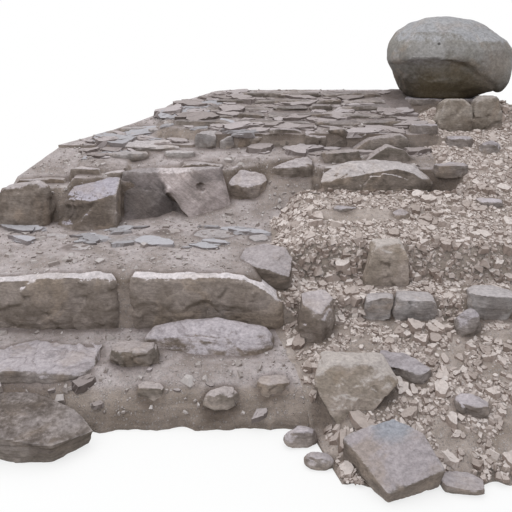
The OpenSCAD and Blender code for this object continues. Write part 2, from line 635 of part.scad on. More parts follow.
module tread_4_flat_stones() {
    color(blue_colour) {
        lay([large_start - 30, line_5 - 130, level_4 - 62], turn = 8)
            stone([320, 130, 66], SLAB, 3, seed = 271, count = 7);
        lay([large_start + 340, line_5 - 95, level_4 - 56], turn = -6)
            stone([260, 110, 62], SLAB, 3, seed = 274, count = 7);
        lay([thin_place(2).x - 435, line_5 + 330, level_5 - 85], turn = 12)
            stone([300, 160, 66], SLAB, 3, seed = 273, count = 7);
        lay([thin_place(1).x - 110, line_5 + 250, level_5 - 92], turn = 4)
            stone([190, 120, 66], SLAB, 3, seed = 275, count = 7);
    }
}

// The fifth row: a broad slab that lies on the slope at the left with two blocks beside it, and a taller
// riser from the middle to the right
riser_lengths = [230, 270, 180, 150];
riser_length = upto(riser_lengths, 4);
leaning_slab_length = 430;
thin_start = split_top - 170 - leaning_slab_length - riser_length;
slab_start = thin_start + riser_length + 12;
module step_5_left_ledge() {
    color(blue_colour) {
        lay([thin_start - 660, line_5 + 75, level_4 - 17], turn = 2, tip = [8, 0])
            split_stone([480, 250, 76], [
                [-0.46, -0.3, 0], [0, -0.42, 0], [0.44, -0.4, 0], [0.46, 0.44, 0], [-0.44, 0.42, 0],
                [-0.5, -0.2, 0.7], [-0.24, -0.44, 0.8], [0.2, -0.5, 0.78], [0.5, -0.42, 0.84],
                [-0.4, 0, 1], [-0.2, -0.32, 1], [0.4, -0.3, 1.04], [0.44, 0.4, 1], [-0.4, 0.44, 0.96]]);
        lay([thin_start - 228, line_5 + 38, level_4 + 6], turn = -4)
            split_stone([170, 150, 134], squared_corners(277));
        lay([thin_start - 74, line_5 + 30, level_4 + 6], turn = 5)
            split_stone([118, 120, 104], squared_corners(280));
    }
}

module step_5_riser_stones() {
    color(brown_colour)
        course([thin_start, line_5 - proud], level_5 - 200, riser_lengths, thin_run + 15, 196, seed = 281);
}

// One of the thin laminated courses; its left end steps in as the path narrows
thin_lengths = [
    [470, 620, 370, 340], [360, 240, 560, 500], [560, 300, 210, 480], [320, 500, 250, 380], [430, 290, 520]];
function thin_place(n) = [split_top - 120 - 15 * n - upto(thin_lengths[n - 1], len(thin_lengths[n - 1])),
    line_5 + n * thin_run];
function thin_bed(n) = level_5 + n * thin_rise - thin_slab;
module thin_course(n)
    color(pale_colour)
        course(thin_place(n), thin_bed(n), thin_lengths[n - 1], thin_run - 4, thin_slab, seed = 281 + 10 * n);

module thin_course_1() thin_course(1);
module thin_course_2() thin_course(2);
module thin_course_3() thin_course(3);
module thin_course_4() thin_course(4);
module thin_course_5() thin_course(5);

module boulder_bed_block() {
    color(brown_colour)
        lay([boulder_x + 80, line_boulder + 20, level_4 + 10], turn = 5) {
            translate([-130, 0, 0]) stone([330, 220, 335], CAP, 3.6, seed = 341, count = 9);
            translate([135, 8, 0]) stone([300, 210, 350], CAP, 3.6, seed = 342, count = 9);
        }
}

module boulder_bed_slabs() {
    color(pale_colour) {
        lay([boulder_x - 180, line_boulder + 420, level_boulder - 90], turn = 4)
            stone([330, 380, 90], SLAB, 3.4, seed = 351, count = 9);
        lay([boulder_x + 175, line_boulder + 430, level_boulder - 90], turn = -5)
            stone([330, 360, 90], SLAB, 3.4, seed = 352, count = 9);
    }
}

// The boulder, as level rings: share of the height, of the width and of the depth, and shifts of the
// middle to the right and to the back. The front is hollowed below a ledge at half height, as far as a ridge
// that slants down to the right, and a lobe bulges beyond that ridge.
boulder_rings = [
    [0, 0.52, 0.56, -0.03, 0.03], [0.09, 0.66, 0.72, -0.03, 0.02], [0.2, 0.8, 0.84, 0, 0.01],
    [0.32, 0.9, 0.93, 0.006, 0.01], [0.42, 0.98, 0.98, 0, 0], [0.49, 1, 1, 0, 0], [0.6, 0.99, 1, 0, 0],
    [0.7, 0.93, 0.95, -0.01, 0], [0.8, 0.79, 0.84, -0.03, 0.01], [0.9, 0.6, 0.66, -0.03, 0.01],
    [0.965, 0.38, 0.42, -0.015, 0.02]];
boulder_sides = 30;
boulder_ledge = 0.48;
module boulder() {
    rings = [
        for (r = boulder_rings)
            let (ridge = 286 + 60 * (boulder_ledge - r[0]), low = r[0] > 0.05 && r[0] < boulder_ledge ? 1 : 0)
            [for (i = [0 : boulder_sides - 1])
                let (
                    a = 360 * (i + 0.5) / boulder_sides,
                    hollow = low * ramp(a, 190, 226) * (1 - ramp(a, ridge - 22, ridge)),
                    lobe = low * hump(a, ridge + 26, 40),
                    k = 0.98 - 0.16 * hollow + 0.035 * lobe + 0.012 * sin(3 * a + 400 * r[0]))
                [
                    boulder_width * (0.5 * r[1] * k * squared(cos(a), 2.15) + r[3]) + $grow * cos(a),
                    boulder_depth * (0.5 * r[2] * k * squared(sin(a), 2.15) + r[4]) + $grow * sin(a),
                    boulder_height * (r[0] - (r[0] > 0.7 ? 0.015 * cos(a) : 0)) - (r[0] == 0 ? $grow : 0)
                ]]];
    color(boulder_colour)
        lay([boulder_x, line_boulder + 60 + boulder_depth / 2, level_boulder + seat_gap])
            skin(rings, [0, 0, -$grow], [-0.02 * boulder_width, 0, boulder_height]);
}

module right_slope_stones() {
    color(brown_colour) {
        lay([right_width - 278, line_kerb - 85, level_1 + 18], turn = 14)
            stone([170, 140, 150], HUMP, 2.6, seed = 371, count = 8);
        lay([side_start + 730, line_3 - 280, level_2 + 100], turn = 30)
            stone([160, 120, 90], HUMP, 3, seed = 372, count = 7);
        lay([right_width + 80, line_3 - 140, level_2 + 120], turn = -20)
            stone([180, 130, 100], SLAB, 3, seed = 373, count = 7);
        lay([side_start + 390, line_3 - 200, level_2 + 110], turn = 10)
            stone([170, 110, 80], SLAB, 3, seed = 374, count = 7);
        lay([split_top + 70, line_4 - 60, level_3 - 45], turn = 5)
            stone([260, 150, 90], SLAB, 3, seed = 375, count = 7);
        lay([split_top + 225, line_5 - 10, level_4 - 5], turn = -8)
            stone([220, 160, 105], BLOCK, 3, seed = 376, count = 7);
        lay([split_top + 425, line_5 - 90, level_4 - 40], turn = 25)
            stone([220, 150, 125], HUMP, 3, seed = 377, count = 7);
        lay([split_top - 25, line_5 + 72, level_5 - 120], turn = -3)
            stone([230, 150, 150], SLAB, 3.4, seed = 378, count = 8);
    }
}

// The stones of each part of the flight, which the earth is packed round
module foot_stones() {
    bottom_left_slab();
    step_1_left_slab();
    step_1_small_block();
    step_1_whaleback_slab();
    foot_bank_stones();
    right_foot_block();
    right_foot_tilted_slab();
    right_foot_sloping_slab();
    right_foot_loose_stones();
}

module kerb_stones() {
    kerb_left_stone();
    kerb_right_stone();
    kerb_corner_stone();
    kerb_end_block();
    right_riser_stones();
    right_edge_slab();
    right_bank_stone();
    tread_2_flat_stones();
    right_slope_stones();
}

module step_3_stones() {
    step_3_left_stone();
    step_3_wedge_block();
    step_3_large_block();
    step_3_right_stone();
    step_3_broad_stone();
    step_3_pale_slab();
    step_3_gable_stones();
    tread_4_flat_stones();
    step_4_line_stones();
}

module upper_stones() {
    step_5_left_ledge();
    bench([thin_start, line_5 - proud], level_5 - 200, riser_length, thin_run + 15);
    for (n = [1 : thin_courses])
        bench(thin_place(n), thin_bed(n), upto(thin_lengths[n - 1], len(thin_lengths[n - 1])), thin_run);
}

module boulder_stones() {
    boulder_bed_block();
    boulder_bed_slabs();
    boulder();
}

module foot_earth() {
    color(earth_colour)
        difference() {
            bed(line_bank, line_kerb, left_line, foot_line, 14, 9, false);
            packed_round() {
                foot_stones();
                kerb_stones();
            }
        }
}

module tread_2_earth() {
    color(earth_colour)
        difference() {
            bed(line_kerb, line_3, left_line, kerb_line, 16, 8, false);
            packed_round() {
                kerb_stones();
                step_3_stones();
            }
        }
}

module tread_3_earth() {
    color(earth_colour)
        difference() {
            bed(line_3, line_5, left_line, top_line, 18, 6, false);
            packed_round() {
                kerb_stones();
                step_3_stones();
                upper_stones();
            }
        }
}

module upper_earth() {
    color(earth_colour)
        difference() {
            bed(line_5, line_back, left_line, top_line, 14, 8, false);
            packed_round() {
                kerb_stones();
                step_3_stones();
                upper_stones();
                boulder_stones();
            }
        }
}

module right_lower_slope() {
    color(earth_colour)
        difference() {
            bed(line_toe, line_kerb, foot_line, right_line, 10, 10, true);
            packed_round() {
                foot_stones();
                kerb_stones();
            }
        }
}

module right_middle_slope() {
    color(earth_colour)
        difference() {
            bed(line_kerb, line_3, kerb_line, right_line, 12, 9, true);
            packed_round() {
                kerb_stones();
                step_3_stones();
            }
        }
}

module right_upper_slope() {
    color(earth_colour)
        difference() {
            bed(line_3, line_back, top_line, right_line, 8, 12, true);
            packed_round() {
                kerb_stones();
                step_3_stones();
                upper_stones();
                boulder_stones();
            }
        }
}

bottom_left_slab();
step_1_left_slab();
step_1_small_block();
step_1_whaleback_slab();
foot_bank_stones();
right_foot_block();
right_foot_tilted_slab();
right_foot_sloping_slab();
right_foot_loose_stones();
kerb_left_stone();
kerb_right_stone();
kerb_corner_stone();
kerb_end_block();
right_riser_stones();
right_edge_slab();
right_bank_stone();
tread_2_flat_stones();
step_3_left_stone();
step_3_wedge_block();
step_3_large_block();
step_3_right_stone();
step_3_broad_stone();
step_3_pale_slab();
step_3_gable_stones();
step_4_line_stones();
tread_4_flat_stones();
step_5_left_ledge();
step_5_riser_stones();
thin_course_1();
thin_course_2();
thin_course_3();
thin_course_4();
thin_course_5();
boulder_bed_block();
boulder_bed_slabs();
boulder();
right_slope_stones();
foot_earth();
tread_2_earth();
tread_3_earth();
upper_earth();
right_lower_slope();
right_middle_slope();
right_upper_slope();
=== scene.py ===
from math import radians
import bpy
import numpy as np
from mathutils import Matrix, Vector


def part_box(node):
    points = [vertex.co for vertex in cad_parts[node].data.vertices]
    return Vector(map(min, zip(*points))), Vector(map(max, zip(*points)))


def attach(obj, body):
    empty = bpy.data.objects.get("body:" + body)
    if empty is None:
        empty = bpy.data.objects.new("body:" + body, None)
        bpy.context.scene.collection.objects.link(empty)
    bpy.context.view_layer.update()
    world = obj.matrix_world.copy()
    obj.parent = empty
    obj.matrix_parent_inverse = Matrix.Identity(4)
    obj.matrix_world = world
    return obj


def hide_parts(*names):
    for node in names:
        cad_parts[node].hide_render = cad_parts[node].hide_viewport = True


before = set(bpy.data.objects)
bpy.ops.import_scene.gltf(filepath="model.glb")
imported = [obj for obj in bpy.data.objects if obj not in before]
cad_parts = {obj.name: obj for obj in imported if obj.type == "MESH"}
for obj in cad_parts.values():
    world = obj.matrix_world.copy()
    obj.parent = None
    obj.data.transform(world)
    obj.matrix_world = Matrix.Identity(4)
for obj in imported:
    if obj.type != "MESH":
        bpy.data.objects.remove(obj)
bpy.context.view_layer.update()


# Camera: a walker at the foot of the path looks up the steps, with eyes 1.8 m above the foot and turned 20
# degrees down, through a lens that sees 46 degrees.
scene = bpy.context.scene
lens = bpy.data.cameras.new("walker_view")
lens.sensor_width = 36
lens.lens = 42.19
lens.clip_end = 60
camera = bpy.data.objects.new("walker_view", lens)
camera.location = (0, -3.45, 1.8)
camera.rotation_euler = (radians(70), 0, 0)
scene.collection.objects.link(camera)
scene.camera = camera


# Studio: an overcast sky made of one wide lamp overhead and an even world, and a plain pale floor that
# shows as white to the camera and still holds the shadow of the steps.
def linear(code):
    """Linear colour of an sRGB hex code: ((c + 0.055) / 1.055) to the power 2.4, or c / 12.92 when dark."""
    c = np.array([int(code[k:k + 2], 16) / 255 for k in (1, 3, 5)])
    return (*np.where(c <= 0.04045, c / 12.92, ((c + 0.055) / 1.055) ** 2.4), 1.0)


def add(tree, kind, settings=None):
    """One new node. Settings name its properties, and name or number its inputs; an input gets a value, or a
    link from the socket that is given."""
    node = tree.nodes.new("ShaderNode" + kind)
    for key, value in (settings or {}).items():
        if isinstance(value, bpy.types.NodeSocket):
            tree.links.new(value, node.inputs[key])
        elif isinstance(key, int) or key in node.inputs:
            node.inputs[key].default_value = value
        else:
            setattr(node, key, value)
    return node


def calculate(operation, *values):
    """Result of a Math node on values, of which the first is a socket and the others sockets or numbers."""
    return add(values[0].id_data, "Math", {"operation": operation, **dict(enumerate(values))}).outputs[0]


def times(first, second):
    """The product of a socket and a socket or number."""
    return calculate("MULTIPLY", first, second)


def ramp(source, low, high, least=0.0, most=1.0, kind="LINEAR"):
    """A value that goes from least to most while the source goes from low to high."""
    return add(source.id_data, "MapRange", {
        "Value": source, "From Min": low, "From Max": high, "To Min": least, "To Max": most,
        "interpolation_type": kind}).outputs[0]


def empty_material(name):
    """A new material and its node tree, without nodes."""
    material = bpy.data.materials.new(name)
    material.use_nodes = True
    material.node_tree.nodes.clear()
    return material, material.node_tree


def whitened(name, colour, glow):
    """A matt material that the camera, mirrors and glass see mixed with white light: a share of glow near the
    steps, where the floor keeps their shadow, and all of it from 5 m away."""
    material, tree = empty_material(name)
    path = add(tree, "LightPath").outputs
    seen = calculate("MAXIMUM", path["Is Camera Ray"], path["Is Glossy Ray"])
    seen = calculate("MAXIMUM", seen, path["Is Transmission Ray"])
    place = add(tree, "TexCoord").outputs["Object"]
    away = add(tree, "VectorMath", {"operation": "LENGTH", 0: place}).outputs["Value"]
    share = times(seen, ramp(away, 2.4, 5.0, glow))
    matt = add(tree, "BsdfDiffuse", {"Color": linear(colour)}).outputs[0]
    light = add(tree, "Emission", {"Color": (1, 1, 1, 1), "Strength": 1.0}).outputs[0]
    mixed = add(tree, "MixShader", {0: share, 1: matt, 2: light}).outputs[0]
    add(tree, "OutputMaterial", {"Surface": mixed})
    return material


floor_edge = 30
floor_mesh = bpy.data.meshes.new("studio_floor")
floor_corners = [(x * floor_edge, y * floor_edge, 0) for x, y in ((-1, -1), (1, -1), (1, 1), (-1, 1))]
floor_mesh.from_pydata(floor_corners, [], [(0, 1, 2, 3)])
floor = bpy.data.objects.new("studio_floor", floor_mesh)
scene.collection.objects.link(floor)
# Pale matt paper: it stays in the background and takes only the soft shadow
floor_mesh.materials.append(whitened("pale_matt_paper", "#e6e5e3", 0.72))
floor.location.z = -0.001

sky = bpy.data.worlds.new("overcast")
scene.world = sky
sky.use_nodes = True
sky_tree = sky.node_tree
sky_tree.nodes.clear()
path = add(sky_tree, "LightPath").outputs
seen = calculate("MAXIMUM", path["Is Camera Ray"], path["Is Glossy Ray"])
dull = add(sky_tree, "Background", {"Color": linear("#e9edf2"), "Strength": 0.95}).outputs[0]
plain = add(sky_tree, "Background", {"Color": (1, 1, 1, 1), "Strength": 1.0}).outputs[0]
both = add(sky_tree, "MixShader", {0: seen, 1: dull, 2: plain}).outputs[0]
add(sky_tree, "OutputWorld", {"Surface": both})

for name, size, power, place, turn in (
        ("overhead_cloud", 7.0, 205, (-0.6, 0.2, 6.0), (0, 0, 0)),
        ("bright_cloud", 4.0, 70, (-3.6, -3.2, 4.6), (radians(48), 0, radians(-48)))):
    lamp = bpy.data.lights.new(name, "AREA")
    lamp.size = size
    lamp.energy = power
    lamp.color = linear("#fbfaf8")[:3]
    lamp_object = bpy.data.objects.new(name, lamp)
    lamp_object.location = place
    lamp_object.rotation_euler = turn
    scene.collection.objects.link(lamp_object)
scene.view_settings.view_transform = "Standard"


# The kerb: two long sandstone blocks, split in the quarry and set on edge as the riser of the long tread.
# The face is dark, rough and layered, and feet have worn the front of the top to a pale rounded strip.
def lattice_noise(points, seed):
    """Smooth random field of about -1 to 1: at each corner of the unit lattice an integer hash picks a
    gradient, and the dot products with the way to the corner are blended by 6t^5 - 15t^4 + 10t^3."""
    cell = np.floor(points).astype(np.int64)
    share = points - cell
    blend = share ** 3 * (share * (share * 6 - 15) + 10)
    total = np.zeros(len(points))
    for corner in range(8):
        step = np.array([corner & 1, corner >> 1 & 1, corner >> 2 & 1])
        at = cell + step
        code = at[:, 0] * 374761393 + at[:, 1] * 668265263 + at[:, 2] * 1440662683 + seed * 97531
        code = code & 0xFFFFFFFF
        code = ((code ^ code >> 13) * 1274126177) & 0xFFFFFFFF
        code = ((code ^ code >> 16) * 668265263) & 0xFFFFFFFF
        code ^= code >> 15
        away = share - step
        pull = sum(((code >> 8 * k & 255) / 127.5 - 1) * away[:, k] for k in range(3))
        total += pull * np.prod(np.where(step, blend, 1 - blend), axis=1)
    return total


def rough_field(points, size, octaves, seed, fade=0.5):
    """Sum of lattice noise in waves of the size in metres and down, each half as long and fade as high."""
    return sum(fade ** k * lattice_noise(points * (2 ** k / size) + 17.3 * k, seed + k)
               for k in range(octaves))


def smooth_ramp(value, start, end):
    """Share from 0 at start to 1 at end: t squared times (3 - 2t)."""
    t = np.clip((value - start) / (end - start), 0, 1)
    return t * t * (3 - 2 * t)


def box_grid(counts):
    """Skin of a box from -1 to 1 as a closed grid of square cells, counts cells along each axis, and its
    faces, which all point outwards. The lattice points on the skin get running numbers."""
    number = np.full(tuple(c + 1 for c in counts), -1)
    skin = np.zeros_like(number, bool)
    for axis in range(3):
        for end in (0, -1):
            skin[tuple(end if k == axis else slice(None) for k in range(3))] = True
    number[skin] = np.arange(skin.sum())
    points = np.argwhere(skin) / np.array(counts) * 2 - 1
    faces = []
    for axis in range(3):
        for end in (0, -1):
            side = np.take(number, end, axis=axis)
            quads = np.stack([side[:-1, :-1], side[1:, :-1], side[1:, 1:], side[:-1, 1:]], -1).reshape(-1, 4)
            outward = (end == -1) != (axis == 1)
            faces.append(quads if outward else quads[:, ::-1])
    return points, np.concatenate(faces)


def skin_normals(points, faces):
    """Normal at each point: the sum of the cross products of its faces' diagonals, at length 1."""
    corner = points[faces]
    across = np.cross(corner[:, 2] - corner[:, 0], corner[:, 3] - corner[:, 1])
    total = np.stack([np.bincount(faces.ravel(), np.repeat(across[:, k], 4), len(points))
                      for k in range(3)], 1)
    return total / np.maximum(np.linalg.norm(total, axis=1, keepdims=True), 1e-12)


def eased(values, faces, passes):
    """Values at points, each pass moved half way to the mean of their neighbours along the cells' edges."""
    start, end = faces.ravel(), np.roll(faces, -1, axis=1).ravel()
    count = np.bincount(start, minlength=len(values))[:, None]
    flat = values.reshape(len(values), -1)
    for _ in range(passes):
        near = np.stack([np.bincount(start, flat[end, k], len(flat)) for k in range(flat.shape[1])], 1)
        flat = 0.5 * flat + 0.5 * near / count
    return flat.reshape(values.shape)


def solids_of(node):
    """Corners of the triangles of each separate stone of a CAD node: points are merged, and each group of
    joined triangles takes the lowest point number in it as its label."""
    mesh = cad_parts[node].data
    mesh.calc_loop_triangles()
    places = np.empty(len(mesh.vertices) * 3)
    mesh.vertices.foreach_get("co", places)
    corners = np.empty(len(mesh.loop_triangles) * 3, int)
    mesh.loop_triangles.foreach_get("vertices", corners)
    triangles = places.reshape(-1, 3)[corners.reshape(-1, 3)]
    joined = np.unique(np.round(triangles.reshape(-1, 3), 5), axis=0, return_inverse=True)[1].reshape(-1, 3)
    label = np.arange(joined.max() + 1)
    while True:
        lowest = label[joined].min(1)
        before = label.copy()
        np.minimum.at(label, joined.ravel(), np.repeat(lowest, 3))
        if (before == label).all():
            break
    return [triangles[label[joined[:, 0]] == one] for one in np.unique(label)]


def reach(solid, middle, rays):
    """How far the solid's skin lies along each ray from the middle, in ray lengths: a triangle's share is n.a
    / n.ray, and counts where the ray is inside the planes through the middle and its sides."""
    a, b, c = (solid[:, k] - middle for k in range(3))
    normal = np.cross(b - a, c - a)
    depth = (a * normal).sum(1)
    sides = [np.cross(a, b), np.cross(b, c), np.cross(c, a)]
    found = np.zeros(len(rays))
    for part in np.array_split(np.arange(len(rays)), len(rays) // 3000 + 1):
        ray = rays[part]
        inside = np.all([ray @ side.T > -1e-8 for side in sides], axis=0)
        slope = ray @ normal.T
        found[part] = np.where(inside & (slope > 1e-12), depth / np.maximum(slope, 1e-12), 0).max(1)
    return np.where(found > 0, found, np.median(found))


def stone_skin(solid, cell, seed, chips=10, chip=0.08, passes=1, cuts=()):
    """Skin of one stone on a box grid: the distance to the CAD solid along rays from its middle, cut by
    random planes that chip its corners and by the given ones, each a point and a direction, then eased."""
    chance = np.random.default_rng(seed)
    low, high = solid.reshape(-1, 3).min(0), solid.reshape(-1, 3).max(0)
    middle, half = (low + high) / 2, (high - low) / 2
    grid, faces = box_grid(np.maximum(2, np.round((high - low) / cell)).astype(int))
    rays = grid * half
    share = reach(solid, middle, rays)
    corners = solid.reshape(-1, 3) - middle
    way = chance.normal(size=(chips, 3)) / half
    way /= np.linalg.norm(way, axis=1, keepdims=True)
    depth = (corners @ way.T).max(0) - half.min() * chip * chance.uniform(0.2, 2.2, chips)
    if cuts:
        given = np.array(cuts)
        way = np.concatenate([way, given[:, 3:]])
        depth = np.concatenate([depth, ((given[:, :3] - middle) * given[:, 3:]).sum(1)])
    towards = rays @ way.T
    cut = np.where(towards > 1e-9, depth / np.maximum(towards, 1e-9), 9).min(1)
    points = middle + rays * np.minimum(share, cut)[:, None]
    return eased(points, faces, passes), faces


def broken_facets(points, size, seed):
    """Height of a broken face, from about -1 to 1: each point takes the tilted plane of the nearest random
    spot, with one spot in each lattice cell, so that flat facets meet in low steps and sharp ridges."""
    place = points / size
    cell = np.floor(place).astype(np.int64)
    share = place - cell
    nearest, height = np.full(len(points), 9.0), np.zeros(len(points))
    for step in np.ndindex(3, 3, 3):
        step = np.array(step) - 1
        at = cell + step
        code = at[:, 0] * 668265263 + at[:, 1] * 374761393 + at[:, 2] * 1440662683 + seed * 74747
        code = code & 0xFFFFFFFF
        code = ((code ^ code >> 15) * 1274126177) & 0xFFFFFFFF
        code = ((code ^ code >> 13) * 668265263) & 0xFFFFFFFF
        tilt = ((code ^ code >> 14) * 1440662683) & 0xFFFFFFFF
        away = [(code >> 8 * k & 255) / 255 + step[k] - share[:, k] for k in range(3)]
        distance = sum(a * a for a in away)
        plane = sum(((tilt >> 8 * k & 255) / 127.5 - 1) * away[k] for k in range(3))
        plane = plane + (tilt >> 24 & 255) / 425 - 0.3
        height = np.where(distance < nearest, plane, height)
        nearest = np.minimum(distance, nearest)
    return height


def weathered(points, faces, seed, swell=0.004, scar=0.006, scar_size=0.13, ledge=0.0015, layer=0.024,
              sheet=0.002, bed=(0.05, -0.03, 1.0)):
    """Break and wear on a stone's skin, along its normals: swells 200 mm long, flat broken facets of two
    sizes, layers that each have their own offset on the sides that cut the bedding, and worn sheets that end
    in low steps on the faces along it. Returns the points and how far each one lies below the eased skin."""
    normal = skin_normals(points, faces)
    bed = np.array(bed) / np.linalg.norm(bed)
    level = points @ bed
    flat = np.abs(normal @ bed)
    wavy = level + 0.012 * lattice_noise(points / 0.15, seed + 5)
    layers = np.zeros(len(points))
    for thick, height in ((layer * 2.3, 1.0), (layer, 0.6)):
        count = np.floor(wavy / thick)
        edge = smooth_ramp(wavy / thick - count, 0, 0.25)
        along = points / np.array([0.17, 0.17, 1e9])
        here, below = (lattice_noise(along + np.stack([0 * n, 0 * n, n * 5.37 + seed % 13], 1), seed + 9)
                       for n in (count, count - 1))
        layers += height * (here * edge + below * (1 - edge))
    patches = 3.2 * rough_field(points * np.array([1, 1, 0.3]), 0.2, 2, seed + 41)
    step = np.floor(patches)
    sheets = step + smooth_ramp(patches - step, 0.75, 1) - patches * 0.6
    side = np.clip(1 - flat, 0, 1) ** 0.7
    bent = points + 0.02 * np.stack([lattice_noise(points / 0.09, seed + 51 + k) for k in range(3)], 1)
    broken = broken_facets(bent, scar_size, seed + 21)
    broken = eased(broken + 0.4 * broken_facets(bent, scar_size * 0.42, seed + 31), faces, 1)
    move = (swell * rough_field(points, 0.2, 2, seed + 11) + scar * (0.35 + 0.65 * side) * broken
            + 2.2 * ledge * side * layers + sheet * flat ** 2 * sheets
            + 0.0016 * rough_field(points, 0.035, 2, seed + 61, 0.7))
    moved = points + normal * move[:, None]
    softened = eased(moved, faces, 5)
    hollow = ((softened - moved) * normal).sum(1)
    return moved, hollow


laid_points = []


def stone(node, name, material, slot, seed, cell=0.0122, tint=0.5, bulges=(), carved=None, **form):
    """One mesh of all stones of a CAD node, with attributes for the material: tint is a random share of each
    stone, or a rule that gives it at the points, hollow the height of the eased skin over the skin in metres,
    and foot the height over the lowest point. A bulge is a point, a radius and the way that the skin there is
    pulled, carved gives how far each point moves outwards, and form goes to stone_skin and weathered."""
    skin_form = {k: form.pop(k) for k in ("chips", "chip", "passes", "cuts") if k in form}
    parts, total = [], 0
    chance = np.random.default_rng(seed)
    for k, solid in enumerate(solids_of(node)):
        skin, quads = stone_skin(solid, cell, seed * 31 + k, **skin_form)
        for bulge in np.array(bulges):
            near = np.exp(-((skin - bulge[:3]) ** 2).sum(1) / bulge[3] ** 2)
            skin = skin + near[:, None] * bulge[4:]
        if carved:
            skin = skin + skin_normals(skin, quads) * carved(skin)[:, None]
        skin, hollow = weathered(skin, quads, seed * 17 + 3 * k, **form)
        skin[:, 2] = np.maximum(skin[:, 2], 0.0)
        own = tint(skin) if callable(tint) else np.full(len(skin), tint + chance.uniform(-0.35, 0.35))
        parts.append((skin, quads + total, own, hollow, skin[:, 2] - skin[:, 2].min()))
        total += len(skin)
    points, faces, tints, hollows, feet = (np.concatenate(part) for part in zip(*parts))
    laid_points.append(points)
    piece = finished_piece("dressed_" + name, points, faces.tolist(), material, slot, [node], tint=tints,
                           hollow=hollows, foot=feet)
    piece.data.set_sharp_from_angle(angle=radians(34))


def finished_piece(name, points, faces, material, slot, nodes=(), **attributes):
    """A smooth mesh object from points and lists of their numbers, with attributes, in the frame."""
    mesh = bpy.data.meshes.new(name)
    mesh.from_pydata(points, [], faces)
    for key, values in attributes.items():
        layer = mesh.attributes.new(key, "FLOAT", "POINT")
        layer.data.foreach_set("value", np.asarray(values, np.float32))
    mesh.polygons.foreach_set("use_smooth", np.ones(len(mesh.polygons), bool))
    mesh.materials.append(material)
    piece = bpy.data.objects.new(name, mesh)
    scene.collection.objects.link(piece)
    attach(piece, "root")
    if nodes:
        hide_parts(*nodes)
    return piece


def noise(place, scale, detail, roughness, distortion=0.0):
    """A cloudy value round 0.5, in waves of 1 / scale metres."""
    return add(place.id_data, "TexNoise", {
        "Vector": place, "Scale": scale, "Detail": detail, "Roughness": roughness,
        "Distortion": distortion}).outputs["Fac"]


def mix(amount, below, above, kind="MIX"):
    """A colour that goes from below to above by the amount; the two are hex codes or sockets."""
    below, above = (linear(colour) if isinstance(colour, str) else colour for colour in (below, above))
    return add(amount.id_data, "Mix", {
        "data_type": "RGBA", "blend_type": kind, 0: amount, 6: below, 7: above}).outputs[2]


def facing(tree):
    """Object coordinates of the shaded point, and how far its side faces up, from -1 to 1."""
    normal = add(tree, "NewGeometry").outputs["Normal"]
    return add(tree, "TexCoord").outputs["Object"], add(tree, "SeparateXYZ", {"Vector": normal}).outputs["Z"]


def attribute(tree, name):
    """The value that the mesh holds under the name."""
    return add(tree, "Attribute", {"attribute_name": name}).outputs["Fac"]


def surface(tree, colour, gain, height, strength, depth, roughness, ior=1.45, shine=0.25):
    """The output: the colour times gain on a rough surface, with bumps of the height, depth metres high."""
    colour = add(tree, "VectorMath", {"operation": "SCALE", 0: colour, "Scale": gain}).outputs[0]
    relief = add(tree, "Bump", {"Height": height, "Strength": strength, "Distance": depth}).outputs[0]
    shader = add(tree, "BsdfPrincipled", {"Base Color": colour, "Normal": relief, "Roughness": roughness,
                                          "IOR": ior, "Specular IOR Level": shine}).outputs[0]
    add(tree, "OutputMaterial", {"Surface": shader})


